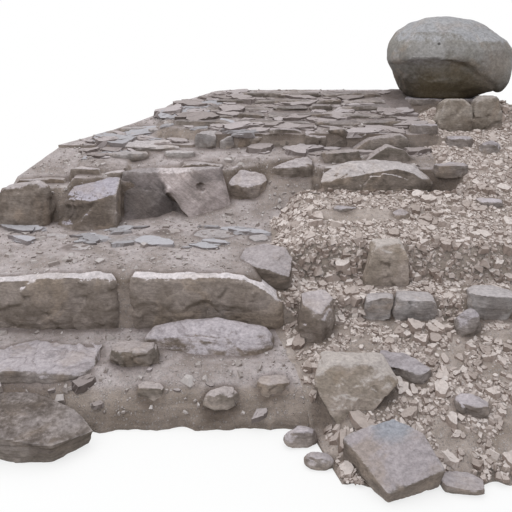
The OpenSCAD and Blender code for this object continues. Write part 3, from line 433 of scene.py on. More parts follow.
def sandstone(name, face, shade, top, stain="#7d6c5d", under="#5f554b", lie=(0.05, 0.03, 0.0), streaks=0.22,
              stained=0.5, dust=0.08, lichen=0.0, dusty=(1.08, 1.34), shady=(0.05, -0.55), gloom=9.0,
              grain=90.0, marks=()):
    """Sandstone in coats of colour, from the broken face up: face and shade in clouds 150 mm across, iron
    stain in patches, the colour under where a side faces down between the two values of shady and is less
    than gloom over the stone's foot, which is painted shade with the stone's own brown, a pale top with a
    ragged edge where it faces up between those of dusty, bands along the bedding that lie gives, painted
    shade in hollows, pale rims, dust up to the height dust, lichen spots and marks. A mark is a place, its
    outer and inner radius, a colour and a share, and some marks are painted shadow in a hole or notch. The
    relief is that of the bands and of crumbs 2 to 20 mm across, which a high grain makes flat."""
    material, tree = empty_material(name)

    def share(source, low, high, most=1.0, least=0.0):
        """As ramp, but smoothly."""
        return ramp(source, low, high, least, most, "SMOOTHSTEP")

    place, up = facing(tree)
    tint, hollow, foot = (attribute(tree, key) for key in ("tint", "hollow", "foot"))
    clouds = noise(place, 6.5, 3.0, 0.55)
    patches = noise(place, 4.0, 5.0, 0.6, 0.8)
    blotch = noise(place, 26.0, 4.0, 0.6)
    grained = add(tree, "Mapping", {"Vector": place, "Scale": (55.0, 55.0, grain), "Rotation": lie})
    crumbs = noise(grained.outputs[0], 1.0, 5.0, 0.72)
    bedded = add(tree, "Mapping", {"vector_type": "TEXTURE", "Vector": place, "Rotation": lie,
                                   "Scale": (1 / 5, 1 / 5, 1 / 70)})
    bands = noise(bedded.outputs[0], 1.0, 4.0, 0.6, 0.7)
    hue = mix(share(clouds, 0.4, 0.62), shade, face)
    hue = mix(share(patches, 0.52, 0.66, stained), hue, stain)
    # Painted shade, with the stone's own brown: the colour under on sides that face down, low on the stone
    hue = mix(times(share(up, *shady, 0.85), share(foot, gloom, gloom * 0.4)), hue, under)
    lifted = calculate("MULTIPLY_ADD", crumbs, 0.5, calculate("MULTIPLY_ADD", clouds, 0.8, up))
    hue = mix(share(lifted, *dusty, 0.94), hue, top)
    hue = mix(share(bands, 0.48, 0.64, streaks), hue, "#8a817b", "MULTIPLY")
    hue = mix(share(patches, 0.5, 0.64, stained * 0.6), hue, "#998a7e")
    # Painted shade in hollows, and pale worn rims on the edges that stand out and face up
    hue = mix(share(hollow, 0.0008, 0.0045, 0.55), hue, "#6a605a", "MULTIPLY")
    hue = mix(times(share(hollow, -0.0018, -0.0055, 0.45), share(up, 0.05, 0.6)), hue, "#aba3a1")
    hue = mix(times(share(foot, dust, 0.0, 0.7), clouds), hue, "#a0958d")
    if lichen:
        spots = add(tree, "TexVoronoi", {"Vector": place, "Scale": 17.0, "Randomness": 1.0})
        large = add(tree, "SeparateColor", {"Color": spots.outputs["Color"]}).outputs[0]
        size = calculate("MULTIPLY_ADD", large, 0.35, spots.outputs["Distance"])
        hue = mix(times(share(size, 0.3, 0.2), share(patches, 0.54, 0.62, lichen)), hue, "#c9cac4")
    for x, y, z, far, near, colour, most in marks:
        away = add(tree, "VectorMath", {"operation": "DISTANCE", 0: place, 1: (x, y, z)}).outputs["Value"]
        away = calculate("MULTIPLY_ADD", blotch, far * 0.5, away)
        hue = mix(share(away, far * 1.25, near + far * 0.25, most), hue, colour)
    # Each stone its own lightness, or painted shade and light where a rule gives its tint, and mottle and
    # grain within it
    gain = calculate("MULTIPLY_ADD", tint, -0.36, 1.18)
    gain = times(gain, share(blotch, 0.25, 0.75, 1.1, 0.9))
    gain = times(gain, share(crumbs, 0.25, 0.75, 1.24, 0.76))
    height = calculate("MULTIPLY_ADD", blotch, 0.5, calculate("MULTIPLY_ADD", bands, 0.7, crumbs))
    surface(tree, hue, gain, height, 0.7, 0.009, 0.9)
    return material


# Split sandstone: a rough dull face, and at the worn arris a line of clean pale stone
kerb_rock = sandstone(
    "split_sandstone", face="#8a7f78", shade="#7a6f67", top="#c4bcbd", stain="#867664", streaks=0.06,
    stained=0.4, dusty=(1.2, 1.34))


def struck_hollow(points):
    """A shallow arch struck out of the middle of the kerb's face, 13 mm deep, deepest under its crown."""
    middle, level, radius = -0.298, 0.365, 0.105
    arch = 1 - ((points[:, 0] - middle) / radius) ** 2 - ((points[:, 2] - level) / radius) ** 2
    arch = arch + 0.7 * rough_field(points, 0.12, 3, 301)
    struck = smooth_ramp(arch, 0, 0.5) * smooth_ramp(points[:, 1], -0.4, -0.44)
    return -0.013 * struck * smooth_ramp(points[:, 2], 0.31, 0.4)


for kerb, seed, tint in (("kerb_left_stone", 11, 0.75), ("kerb_right_stone", 12, 0.4)):
    stone(kerb, kerb, kerb_rock, "kerb_stone", seed, 0.0095, tint, scar=0.01, scar_size=0.12, ledge=0.002,
          layer=0.03, sheet=0.0015, chips=8, chip=0.03, carved=struck_hollow)


# The first row and the foot: slabs and blocks laid by hand on the earth bank. They are pale laminated
# sandstone where feet have worn them, and brown and broken below.

# Worn laminated sandstone: pale above, and thin dark bands along the sides show its beds
pale_rock = sandstone("worn_laminated_sandstone", face="#8b827e", shade="#756b65", top="#aaa2a5", streaks=0.3)
# Brown-faced sandstone: warm on the broken side, with a worn top that is pale to its very edge
split_rock = sandstone(
    "brown_faced_sandstone", face="#857a73", shade="#6a5f57", top="#aca3a4", dusty=(1.06, 1.26))
# Dark laminated sandstone: strong bands and hardly any pale dust, because it lies low in the wet
low_rock = sandstone(
    "dark_laminated_sandstone", face="#857b75", shade="#6a605a", top="#968d8b", streaks=0.4, stained=0.4,
    dusty=(1.5, 1.8))
# Light brown sandstone: an even clean block, nearly without bands, that stands out from the darker ones
light_rock = sandstone(
    "light_brown_sandstone", face="#a2958c", shade="#908479", top="#ada49f", stain="#94836f", streaks=0.03)
# Brown sandstone: small broken stones, stained by the iron in the soil
brown_rock = sandstone("brown_sandstone", face="#8a7f78", shade="#6c635b", top="#a39997", stained=0.6)
# Blue-grey flagstone: cooler and paler than the rest, as fresh splits of the same beds are
blue_rock = sandstone(
    "blue_grey_flagstone", face="#918b89", shade="#7d7673", top="#a8a1a1", stain="#8c7f75", stained=0.6)
# Tilted laminated sandstone: its bands slant with the slab and show how it was laid askew
tilted_rock = sandstone(
    "tilted_laminated_sandstone", face="#8a7d73", shade="#6f645c", top="#aea6aa", lie=(0.12, 0.1, 0.0),
    streaks=0.32, stained=0.3, dusty=(0.92, 1.28))
# Purple-grey flagstone: brown on all sides but its flat top, where a blue-grey patch of clean rock shows
slate_rock = sandstone(
    "purple_grey_flagstone", face="#857c78", shade="#6f665f", top="#a69d9f", stain="#8a7d74", under="#6c6159",
    stained=0.9, streaks=0.06, shady=(0.62, 0.36), marks=[(0.6, -1.215, 0.205, 0.13, 0.05, "#8f939b", 0.75)])

stone("bottom_left_slab", "bottom_left_slab", low_rock, "brown_stone", 21, 0.01, ledge=0.004, layer=0.02,
      sheet=0.004, chips=5, chip=0.05, bed=(0.1, -0.25, 1.0))
stone("step_1_left_slab", "step_1_left_slab", pale_rock, "pale_stone", 22, 0.01, scar=0.008, ledge=0.006,
      layer=0.03, sheet=0.012, chips=12, chip=0.1, bed=(0.1, -0.12, 1.0))
stone("step_1_small_block", "small_block", brown_rock, "brown_stone", 23, 0.009, swell=0.012, scar=0.018,
      scar_size=0.075, chips=14, chip=0.16)
low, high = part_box("step_1_whaleback_slab")
stone("step_1_whaleback_slab", "whaleback_slab", tilted_rock, "pale_stone", 24, 0.01, scar_size=0.16,
      ledge=0.003, layer=0.02, sheet=0.007,
      bulges=[(-0.52, -0.58, 0.26, 0.1, -0.06, 0.0, 0.02), (0.05, -0.56, 0.27, 0.1, 0.03, 0.0, 0.015)],
      cuts=[(low.x + 0.1, low.y + 0.1, high.z - 0.075, -0.34, -0.42, 0.84),
            (high.x - 0.2, low.y + 0.035, high.z - 0.09, 0.12, -0.9, 0.42),
            (low.x + 0.2, low.y + 0.045, high.z - 0.12, -0.3, -0.9, 0.32)])
stone("foot_bank_stones", "foot_bank_stones", brown_rock, "brown_stone", 25, 0.0094, scar=0.01, scar_size=0.1,
      chips=14, chip=0.14)
stone("right_foot_block", "foot_block", light_rock, "brown_stone", 26, 0.0094, scar=0.01, scar_size=0.12,
      chips=8, bed=(0.2, 0.1, 1.0),
      cuts=[(0.645, -1.004, 0.24, 0.726, -0.495, -0.476), (0.285, -1.0, 0.24, -0.873, -0.189, -0.449),
            (0.5, -0.97, 0.35, 0.25, -0.55, 0.8)])
stone("right_foot_tilted_slab", "tilted_slab", slate_rock, "grey_stone", 27, 0.0094, swell=0.005, scar=0.007,
      scar_size=0.16, ledge=0.004, layer=0.03, sheet=0.004, chips=12, chip=0.05, bed=(0.1, -0.35, 1.0),
      cuts=[(0.6, -1.285, 0.184, -0.2, -0.22, 0.95)])
stone("right_foot_sloping_slab", "sloping_slab", pale_rock, "brown_stone", 28, 0.0094, scar=0.012,
      scar_size=0.1, ledge=0.004, chips=14, chip=0.16)
stone("right_foot_loose_stones", "foot_loose_stones", pale_rock, "grey_stone", 29, 0.0094, scar=0.009,
      scar_size=0.09, chips=12, chip=0.14)


# Round the kerb: the stepped corner stone and the block that stop its right end, and the stones that hold
# the worn right side at the same level. The flat slabs of the long tread lie in its earth.
stone("kerb_corner_stone", "corner_stone", split_rock, "pale_stone", 31, 0.0094, scar=0.008, scar_size=0.12,
      ledge=0.004, layer=0.03, sheet=0.006, chip=0.1)
stone("kerb_end_block", "end_block", split_rock, "pale_stone", 32, 0.0094, scar=0.007, chips=5, chip=0.05)
stone("right_riser_stones", "right_riser", blue_rock, "grey_stone", 33, 0.01, 0.25, scar=0.01, scar_size=0.11,
      chips=14, chip=0.12,
      bulges=[(0.66, -0.42, 0.42, 0.13, 0.06, 0.0, 0.04), (0.8, -0.42, 0.38, 0.07, -0.05, 0.0, 0.0)],
      cuts=[(0.78, -0.44, 0.452, -0.1, -0.55, 0.83)])
stone("right_edge_slab", "right_edge_slab", blue_rock, "grey_stone", 34, 0.0106, scar=0.008, chips=12,
      chip=0.12)
stone("right_bank_stone", "right_bank_stone", light_rock, "brown_stone", 35, 0.0106, scar=0.009)
stone("tread_2_flat_stones", "tread_2_slabs", blue_rock, "grey_stone", 36, 0.01, swell=0.003, scar=0.004,
      sheet=0.004, chips=12, chip=0.1)


# The third row: large blocks that stand in a ragged line across the path, with pale worn tops and dark
# broken flanks, and a thin gable stone with a flat one behind the last slab.

# Blue-topped sandstone: only what lies flat is blue-grey, and the flanks are brown
wedge_rock = sandstone(
    "blue_topped_sandstone", face="#7f746d", shade="#685d55", top="#a49ea6", dusty=(1.38, 1.5), streaks=0.12)
# Bedded sandstone: dark brown sides, with a pale top that ends in a soft ragged edge
bed_rock = sandstone("bedded_sandstone", face="#82776f", shade="#695e56", top="#aea5a5", dusty=(1.22, 1.42))
# Dark split sandstone: a grey face, hardly stained or dusty, with steep bands; the mark is painted shadow in
# its notch
block_rock = sandstone(
    "dark_split_sandstone", face="#968b89", shade="#827875", top="#aaa1a1", streaks=0.2, stained=0.08,
    lie=(0.0, 0.7, 0.0), dusty=(1.43, 1.58), marks=[(-0.39, 0.62, 0.826, 0.036, 0.014, "#40372f", 0.55)])
# Pale-topped sandstone: the strongest contrast in the row, a whitish tread over a dark riser
slab_rock = sandstone(
    "pale_topped_sandstone", face="#756a62", shade="#5d534b", top="#b5adac", dusty=(1.26, 1.4))


def wedge_hollow(points):
    """1 in the dark hollow left of the ridge that runs slantwise down the wedge from its top, else 0."""
    x, y, z = points.T
    left = smooth_ramp(-1.02 - 1.15 * (0.8 - z) - x, -0.01, 0.03)
    under_top = smooth_ramp(0.8 + 0.15 * (x + 1.02) - z, 0, 0.03)
    return left * under_top * smooth_ramp(z, 0.63, 0.69) * (y < 0.5)


def split_side(points):
    """1 left of the ridge that runs slantwise down the large block from its crest, and 0 on the flank right
    of it, and how near the left side is to the ridge, from 1 beside it down to 0 at the crest and far off."""
    x, y, z = points.T
    ridge = -0.665 + 0.66 * (0.9 - z) + 0.03 * rough_field(points, 0.1, 3, 433)
    left = 1 - smooth_ramp(x, ridge - 0.012, ridge + 0.02)
    return left, left * np.exp(-np.clip(ridge - x, 0, 1) / 0.22) * smooth_ramp(z, 0.93, 0.82)


def split_painted_shading(points):
    """Painted shade and light on the large block: mid brown at the left, painted shade that is darkest where
    the side is hollowed beside the ridge, painted light on the flank, and darker brown at the hump at its
    top."""
    left, near = split_side(points)
    x, z = points[:, 0], points[:, 2] + 0.02 * rough_field(points, 0.06, 2, 435)
    hump = smooth_ramp(x, -0.47, -0.4) * smooth_ramp(z, 0.85, 0.87)
    return -0.3 + 1.6 * left + 0.85 * near + 1.2 * hump


stone("step_3_left_stone", "row_3_left_stone", bed_rock, "pale_stone", 41, tint=0.25, scar=0.01,
      scar_size=0.12, chips=6, chip=0.05, bulges=[(-1.42, 0.44, 0.84, 0.14, 0.05, 0.0, 0.045)],
      cuts=[(-1.55, 0.37, 0.86, -0.1, -0.6, 0.79), (-1.68, 0.44, 0.86, -0.45, -0.1, 0.88)])
stone("step_3_wedge_block", "wedge_block", wedge_rock, "pale_stone", 42, 0.01, scar=0.008, scar_size=0.17,
      ledge=0.002, chips=6, chip=0.05, bed=(0.1, 0.3, 1.0),
      # Painted shade: the tint darkens the hollow left of the ridge, which is also carved 20 mm in
      tint=lambda points: 0.5 + 0.75 * wedge_hollow(points),
      carved=lambda points: -0.02 * wedge_hollow(points),
      bulges=[(-1.33, 0.28, 0.55, 0.12, -0.075, -0.01, 0.0)],
      cuts=[(-0.98, 0.45, 0.857, -0.135, -0.44, 0.88), (-1.17, 0.3, 0.66, -0.6, -0.72, 0.34),
            (-1.02, 0.355, 0.8, 0.2, -0.94, 0.28)])
low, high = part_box("step_3_large_block")
stone("step_3_large_block", "large_block", block_rock, "kerb_stone", 43, 0.0106, scar=0.008, scar_size=0.2,
      # Painted shade and light: the tint darkens the left and the hollow beside the ridge and lightens the
      # flank
      ledge=0.006, layer=0.022, chips=3, chip=0.03, bed=(0.6, 0.1, 0.8), tint=split_painted_shading,
      carved=lambda points: -0.032 * split_side(points)[1],
      bulges=[(-0.62, 0.52, 0.95, 0.13, 0.0, 0.0, -0.03), (-0.87, 0.55, 0.88, 0.13, -0.06, 0.0, 0.0),
              (-0.87, 0.48, 0.66, 0.12, -0.025, 0.0, 0.0), (-0.385, 0.6, 0.826, 0.026, 0.0, 0.04, 0.012),
              (-0.36, 0.6, 0.812, 0.022, 0.0, 0.03, 0.0)],
      cuts=[(low.x + 0.08, high.y - 0.15, high.z - 0.015, -0.1, -0.9, 0.42),
            (low.x + 0.28, high.y - 0.125, high.z - 0.01, 0.05, -0.8, 0.6)])
stone("step_3_right_stone", "row_3_right_stone", split_rock, "brown_stone", 44, scar=0.012, scar_size=0.1,
      chips=5, chip=0.05, bulges=[(-0.15, 0.86, 0.9, 0.1, -0.02, 0.0, 0.03)])
stone("step_3_broad_stone", "broad_stone", bed_rock, "pale_stone", 45, scar=0.01, scar_size=0.11)
stone("step_3_pale_slab", "pale_slab", slab_rock, "pale_stone", 46, 0.0106, 0.2, scar=0.011, scar_size=0.18,
      ledge=0.003, layer=0.03, sheet=0.005, chips=8, cuts=[(0.83, 0.575, 0.94, 0.0, -0.93, 0.37)])
stone("step_3_gable_stones", "gable_stones", brown_rock, "brown_stone", 47, 0.0106, chips=4, chip=0.05)


# The upper courses: a low line of stones, a ledge and a riser, and five courses of thin slabs, laid by hand
# from the thinnest stone, with the edges of their layers to the front.

# Dark brown sandstone: a riser in its own shade, with a narrow worn edge
riser_rock = sandstone(
    "dark_brown_sandstone", face="#7c726b", shade="#635952", top="#a39a9a", stained=0.6, dusty=(1.24, 1.4))
# Thin-bedded sandstone: dark edges, one over the other like leaves, under slightly paler tops
course_rock = sandstone(
    "thin_bedded_sandstone", face="#69605a", shade="#4f4640", top="#837b7a", streaks=0.4, dusty=(1.28, 1.46))

stone("step_4_line_stones", "line_stones", bed_rock, "pale_stone", 51, scar=0.01, scar_size=0.12, chips=14,
      chip=0.16)
stone("tread_4_flat_stones", "tread_4_slabs", blue_rock, "grey_stone", 52, swell=0.003, scar=0.005, chips=12,
      chip=0.12)
stone("step_5_left_ledge", "ledge", blue_rock, "grey_stone", 53, 0.0112, scar=0.012, scar_size=0.1,
      sheet=0.004, chips=16, chip=0.18)
stone("step_5_riser_stones", "riser", riser_rock, "brown_stone", 54, 0.0115, scar=0.014, scar_size=0.1,
      ledge=0.005, layer=0.04, chips=16, chip=0.2)
for n in range(1, 6):
    stone(f"thin_course_{n}", f"thin_course_{n}", course_rock, "pale_stone", 60 + n, 0.0112, swell=0.005,
          scar=0.009, scar_size=0.11, ledge=0.003, layer=0.018, sheet=0.003, chips=16, chip=0.35)


# The boulder: a rounded block of grit, left whole beside the top of the steps on two bed slabs and a block.
# Weather has smoothed it above, it is dark brown below its ledge, partly its own brown and partly painted
# shade, and lichen grows in spots on the shoulder.

# Weathered gritstone: smooth grey with pale spots above, and deep brown low on its downward sides, partly its
# own brown and partly painted shade; the marks are a painted dark spot for the shade in a small hole, the
# grey-brown of the lobe and the brown at the foot
boulder_rock = sandstone(
    "weathered_gritstone", face="#94918f", shade="#85817c", top="#989799", stain="#8a7f72", under="#332a1c",
    streaks=0.08, stained=0.45, dust=0.001, lichen=0.35, lie=(0.45, 0.25, 0.0), gloom=0.35, grain=60.0,
    marks=[(1.417, 1.476, 1.754, 0.016, 0.007, "#2f2a26", 0.8),
           (1.88, 1.56, 1.6, 0.23, 0.08, "#7d736a", 0.75), (1.54, 1.56, 1.35, 0.4, 0.18, "#5b4e38", 0.6)])
# Coarse brown grit: an even, rough, warm block without bands
grit_rock = sandstone(
    "coarse_brown_grit", face="#948a81", shade="#7c7167", top="#a1978f", stained=0.6, streaks=0.05)


def above_ledge(points):
    """Height of each point over the line of the ledge, which runs level along the front of the boulder and
    then slants down to the tip of the lobe at its right."""
    line = np.interp(points[:, 0], [1.1, 1.25, 1.36, 1.5, 1.62, 1.7, 1.78, 1.95],
                     [1.6, 1.64, 1.628, 1.64, 1.622, 1.585, 1.53, 1.4])
    return points[:, 2] - line - 0.035 * rough_field(points, 0.16, 3, 733)


def ledge_relief(points):
    """The stone stands out by 18 mm above the ledge and in by as much below it, fading in 300 mm."""
    over = above_ledge(points)
    front = smooth_ramp(points[:, 1], 1.95, 1.75)
    front = front * (0.35 + 0.65 * smooth_ramp(lattice_noise(points / 0.22, 735), -0.3, 0.3))
    return 0.018 * np.clip(over / 0.015, -1, 1) * np.exp(-np.abs(over) / 0.12) * front


def lobe_tint(points):
    """The broken lobe at the right of the boulder, over the slanting end of the ledge, is a little darker
    than the rest, and a band just below the level ledge is paler."""
    over = above_ledge(points)
    lobe = smooth_ramp(points[:, 0], 1.64, 1.7) * smooth_ramp(over, -0.01, 0.02)
    band = smooth_ramp(over, -0.17, -0.06) * smooth_ramp(over, 0.0, -0.02)
    return 0.55 + 0.1 * lobe * smooth_ramp(points[:, 2], 1.74, 1.68) - 0.3 * band


stone("boulder", "boulder", boulder_rock, "boulder_stone", 71, 0.014, lobe_tint, swell=0.012, scar=0.004,
      scar_size=0.3, ledge=0.0012, layer=0.05, sheet=0.001, chips=2, chip=0.03, passes=3, carved=ledge_relief,
      bulges=[(1.9, 1.58, 1.48, 0.15, 0.08, -0.025, -0.06)])
stone("boulder_bed_block", "bed_block", grit_rock, "brown_stone", 72, tint=0.4, swell=0.012, scar=0.011,
      scar_size=0.1, chips=8,
      bulges=[(1.65, 1.27, 1.2, 0.13, 0.08, -0.01, 0.0), (1.72, 1.27, 1.2, 0.13, -0.08, -0.01, 0.0)])
stone("boulder_bed_slabs", "bed_slabs", pale_rock, "grey_stone", 73, 0.014)
stone("right_slope_stones", "slope_stones", pale_rock, "brown_stone", 74, 0.0112, scar=0.01, scar_size=0.11,
      chips=12, chip=0.12)


# The earth and rubble that the stones are bedded in: dry trodden soil on the treads, a cut bank at the sides
# and back, and on the right a worn slope. The ground stands a little above the foot of each stone.
line_bank, line_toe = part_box("foot_earth")[0].y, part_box("right_lower_slope")[0].y
line_kerb, line_3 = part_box("tread_2_earth")[0].y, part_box("tread_3_earth")[0].y
line_5, line_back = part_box("upper_earth")[0].y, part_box("upper_earth")[1].y
line_1, line_4, thin_run, thin_rise = line_kerb - 0.44, line_3 + 0.3, 0.16, 0.04
line_boulder, line_top = line_5 + 2 * thin_run, line_5 + 6 * thin_run
level_1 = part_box("kerb_right_stone")[0].z + 0.05
level_2, level_3 = level_1 + 0.33, level_1 + 0.66
level_4, level_5 = level_3 + 0.08, level_3 + 0.23
level_top, level_boulder = level_5 + 5 * thin_rise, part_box("boulder")[0].z
kerb_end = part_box("kerb_right_stone")[1].x
left_kerb, left_row, left_foot, left_back = -1.54, -1.74, -1.39, -0.25
right_kerb, right_foot, right_row, right_boulder = 1.42, 1.15, 1.74, 2.06
split_kerb, split_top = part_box("tread_2_earth")[1].x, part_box("upper_earth")[1].x
split_toe = kerb_end + 0.22


def left_edge(y):
    """Left edge of the steps, straight from the foot to the kerb, the third row, the fifth and the back."""
    return np.interp(y, [line_kerb - 1, line_kerb, line_3, line_5, line_back],
                     [left_foot, left_kerb, left_row, left_kerb + 0.06, left_back])


def right_edge(y):
    """Right edge of the worn side, straight from the foot to the kerb, the third row and the boulder."""
    return np.interp(y, [line_kerb - 1, line_kerb, line_3, line_boulder],
                     [right_foot, right_kerb, right_row, right_boulder])


def split(y):
    """Line between built half and worn side: slanting before the kerb, then straight, then a step out."""
    return np.where(y < line_3, np.interp(y, [line_toe, line_kerb], [split_toe, split_kerb]), split_top)


def bank_height(y):
    """Ground before the kerb: a bank up to the first row, then the nearly level first tread."""
    return np.interp(y, [line_bank, line_1, line_1 + 0.09, line_1 + 0.2, line_1 + 0.3, line_kerb],
                     [0.016, level_1 - 0.088, level_1 - 0.04, level_1 - 0.04, level_1 - 0.01,
                      level_1 + 0.008])


def tread_2_height(x, y):
    """Ground of the long tread: it covers the kerb but for its worn arris, and sinks at both ends."""
    fallen = 0.15 * smooth_ramp(x, kerb_end - 0.22, kerb_end - 0.04) + 0.045 * smooth_ramp(-x, 1.04, 1.54)
    fallen = fallen * (1 - smooth_ramp(y, line_kerb + 0.09, line_kerb + 0.26))
    level = np.interp(y, [line_kerb, line_kerb + 0.03, line_kerb + 0.055, line_kerb + 0.28, line_3],
                      [level_2 - 0.045, level_2 - 0.014, level_2 + 0.005, level_2 + 0.004, level_2 + 0.02])
    return level - fallen


def tread_3_height(x, y):
    """Ground between the third row and the fifth: a ramp 80 mm deep behind the third row, then the low line
    of stones, and behind it a slope up to the foot of the fifth row."""
    row_3 = line_3 + np.interp(x, [left_row, -1.34, -0.9, -0.32, -0.12, 0.385, 0.465, split_top],
                               [0.02, 0.04, 0.09, 0.2, 0.33, 0.42, 0.19, 0.2])
    row_4 = line_4 + np.interp(x, [left_row, -0.92, -0.9, -0.16, split_top],
                               [-0.13, -0.1, 0.04, 0.11, 0.11])
    climb = level_3 + np.interp(x, [left_row, -1.28, -1.24, -1.04, -0.9, -0.22, 0.06, split_top],
                                [-0.045, -0.045, 0.015, 0.015, -0.02, 0.025, 0.05, 0.05])
    heaped = smooth_ramp(x, -0.03, 0.145) * (1 - smooth_ramp(x, 0.385, 0.465))
    heaped = heaped * smooth_ramp(y, line_3 + 0.11, line_3 + 0.38)
    low = level_2 + 0.02 + 0.35 * (y - line_3) + 0.13 * heaped
    high = climb + (level_4 + 0.015 - climb) * np.clip((y - row_4) / (line_5 - row_4), 0, 1)
    ground = low + (climb - 0.04 - low) * smooth_ramp(y, row_3 - 0.04, row_3 + 0.04)
    return ground + (high - climb + 0.04) * smooth_ramp(y, row_4 - 0.03, row_4 + 0.03)


def upper_height(x, y):
    """Ground from the fifth row to the back, with the worn left side sunk by up to 75 mm."""
    edge = np.interp(y, [line_5 + thin_run / 2, line_5 + thin_run], [-0.31, -0.685])
    sunk = 0.075 * (1 - smooth_ramp(x, edge - 0.15, edge))
    sunk = sunk * (1 - smooth_ramp(y, line_5 + 2 * thin_run, line_top))
    return np.interp(y, [line_5, line_5 + thin_run, line_top, line_back],
                     [level_5 - thin_rise, level_5 - 0.006, level_top - 0.006, level_top]) - sunk


def built_height(x, y):
    """Height of the ground of the built half."""
    return np.select([y < line_kerb, y < line_3, y < line_5],
                     [bank_height(y), tread_2_height(x, y), tread_3_height(x, y)], upper_height(x, y))


def worn_share(x, y):
    """0 on the built half, 1 from 200 mm beyond the split."""
    return smooth_ramp(x - split(y), 0, 0.2)


def ground_height(x, y):
    """Height of the ground anywhere in the plan: the worn side meets the built half along the split and then
    follows its own slope, with a low bank at the kerb, another behind it, and one at the boulder."""
    slope = np.interp(y, [line_toe, line_bank + 0.02, line_kerb - 0.09, line_kerb, line_kerb + 0.06,
                          line_kerb + 0.24, line_kerb + 0.32, line_3, line_5, line_boulder - 0.06,
                          line_boulder + 0.06, line_back],
                      [0.014, 0.165, level_1 + 0.05, level_1 + 0.06, level_2 - 0.165, level_2 - 0.14,
                       level_2 + 0.07, level_2 + 0.235, level_4 + 0.06, level_4 + 0.11, level_boulder - 0.04,
                       level_boulder - 0.02])
    near = built_height(np.minimum(x, split(y) - 0.002), y)
    return near + (slope - near) * worn_share(x, y)


# Where stones stand out of the ground, on a plan grid of 12 mm cells: the highest point of each cell
plan_cell = 0.012
plan_low = np.array([left_row - 0.1, line_toe - 0.2])
plan_count = np.ceil((np.array([right_boulder + 0.1, line_back + 0.2]) - plan_low) / plan_cell).astype(int)


def plan_cells(x, y):
    """The cells of the plan grid that places lie in, as an index into such a grid."""
    at = ((np.stack([x, y], -1) - plan_low) / plan_cell).astype(int)
    return tuple(np.clip(at, 0, plan_count - 1).T)


stone_top = np.zeros(plan_count)
standing = np.concatenate(laid_points)
np.maximum.at(stone_top, plan_cells(standing[:, 0], standing[:, 1]), standing[:, 2])
plan_x = plan_low[0] + (np.arange(plan_count[0]) + 0.5) * plan_cell
plan_y = plan_low[1] + (np.arange(plan_count[1]) + 0.5) * plan_cell
plan_x, plan_y = np.meshgrid(plan_x, plan_y, indexing="ij")
# Taken is 1 where a stone stands, and near_stone falls off round it over about 40 mm
taken = (stone_top > ground_height(plan_x, plan_y) + 0.004).astype(float)
near_stone = taken.copy()
for _ in range(8):
    near_stone = 0.5 * near_stone + 0.125 * sum(np.roll(near_stone, s, a) for a in (0, 1) for s in (-1, 1))
near_stone = np.clip(near_stone * 2, 0, 1)


def level_points(x, y):
    """Places in the plan as points at height 0."""
    return np.stack([x, y, 0 * x], -1)


def earth_relief(x, y):
    """Relief of the ground in metres: swells 400 mm long and lumps 90 down to 22 mm long, twice as high on
    the worn side."""
    flat = level_points(x, y)
    relief = 0.008 * lattice_noise(flat / 0.4, 81) + 0.004 * rough_field(flat, 0.09, 3, 84)
    return relief * (1 + worn_share(x, y))


def wall_wash(points):
    """How far the walls stand out of their lines at the points, and in where it is below zero."""
    return 0.045 * rough_field(points * np.array([1, 1, 1.5]), 0.26, 3, 121) - 0.018


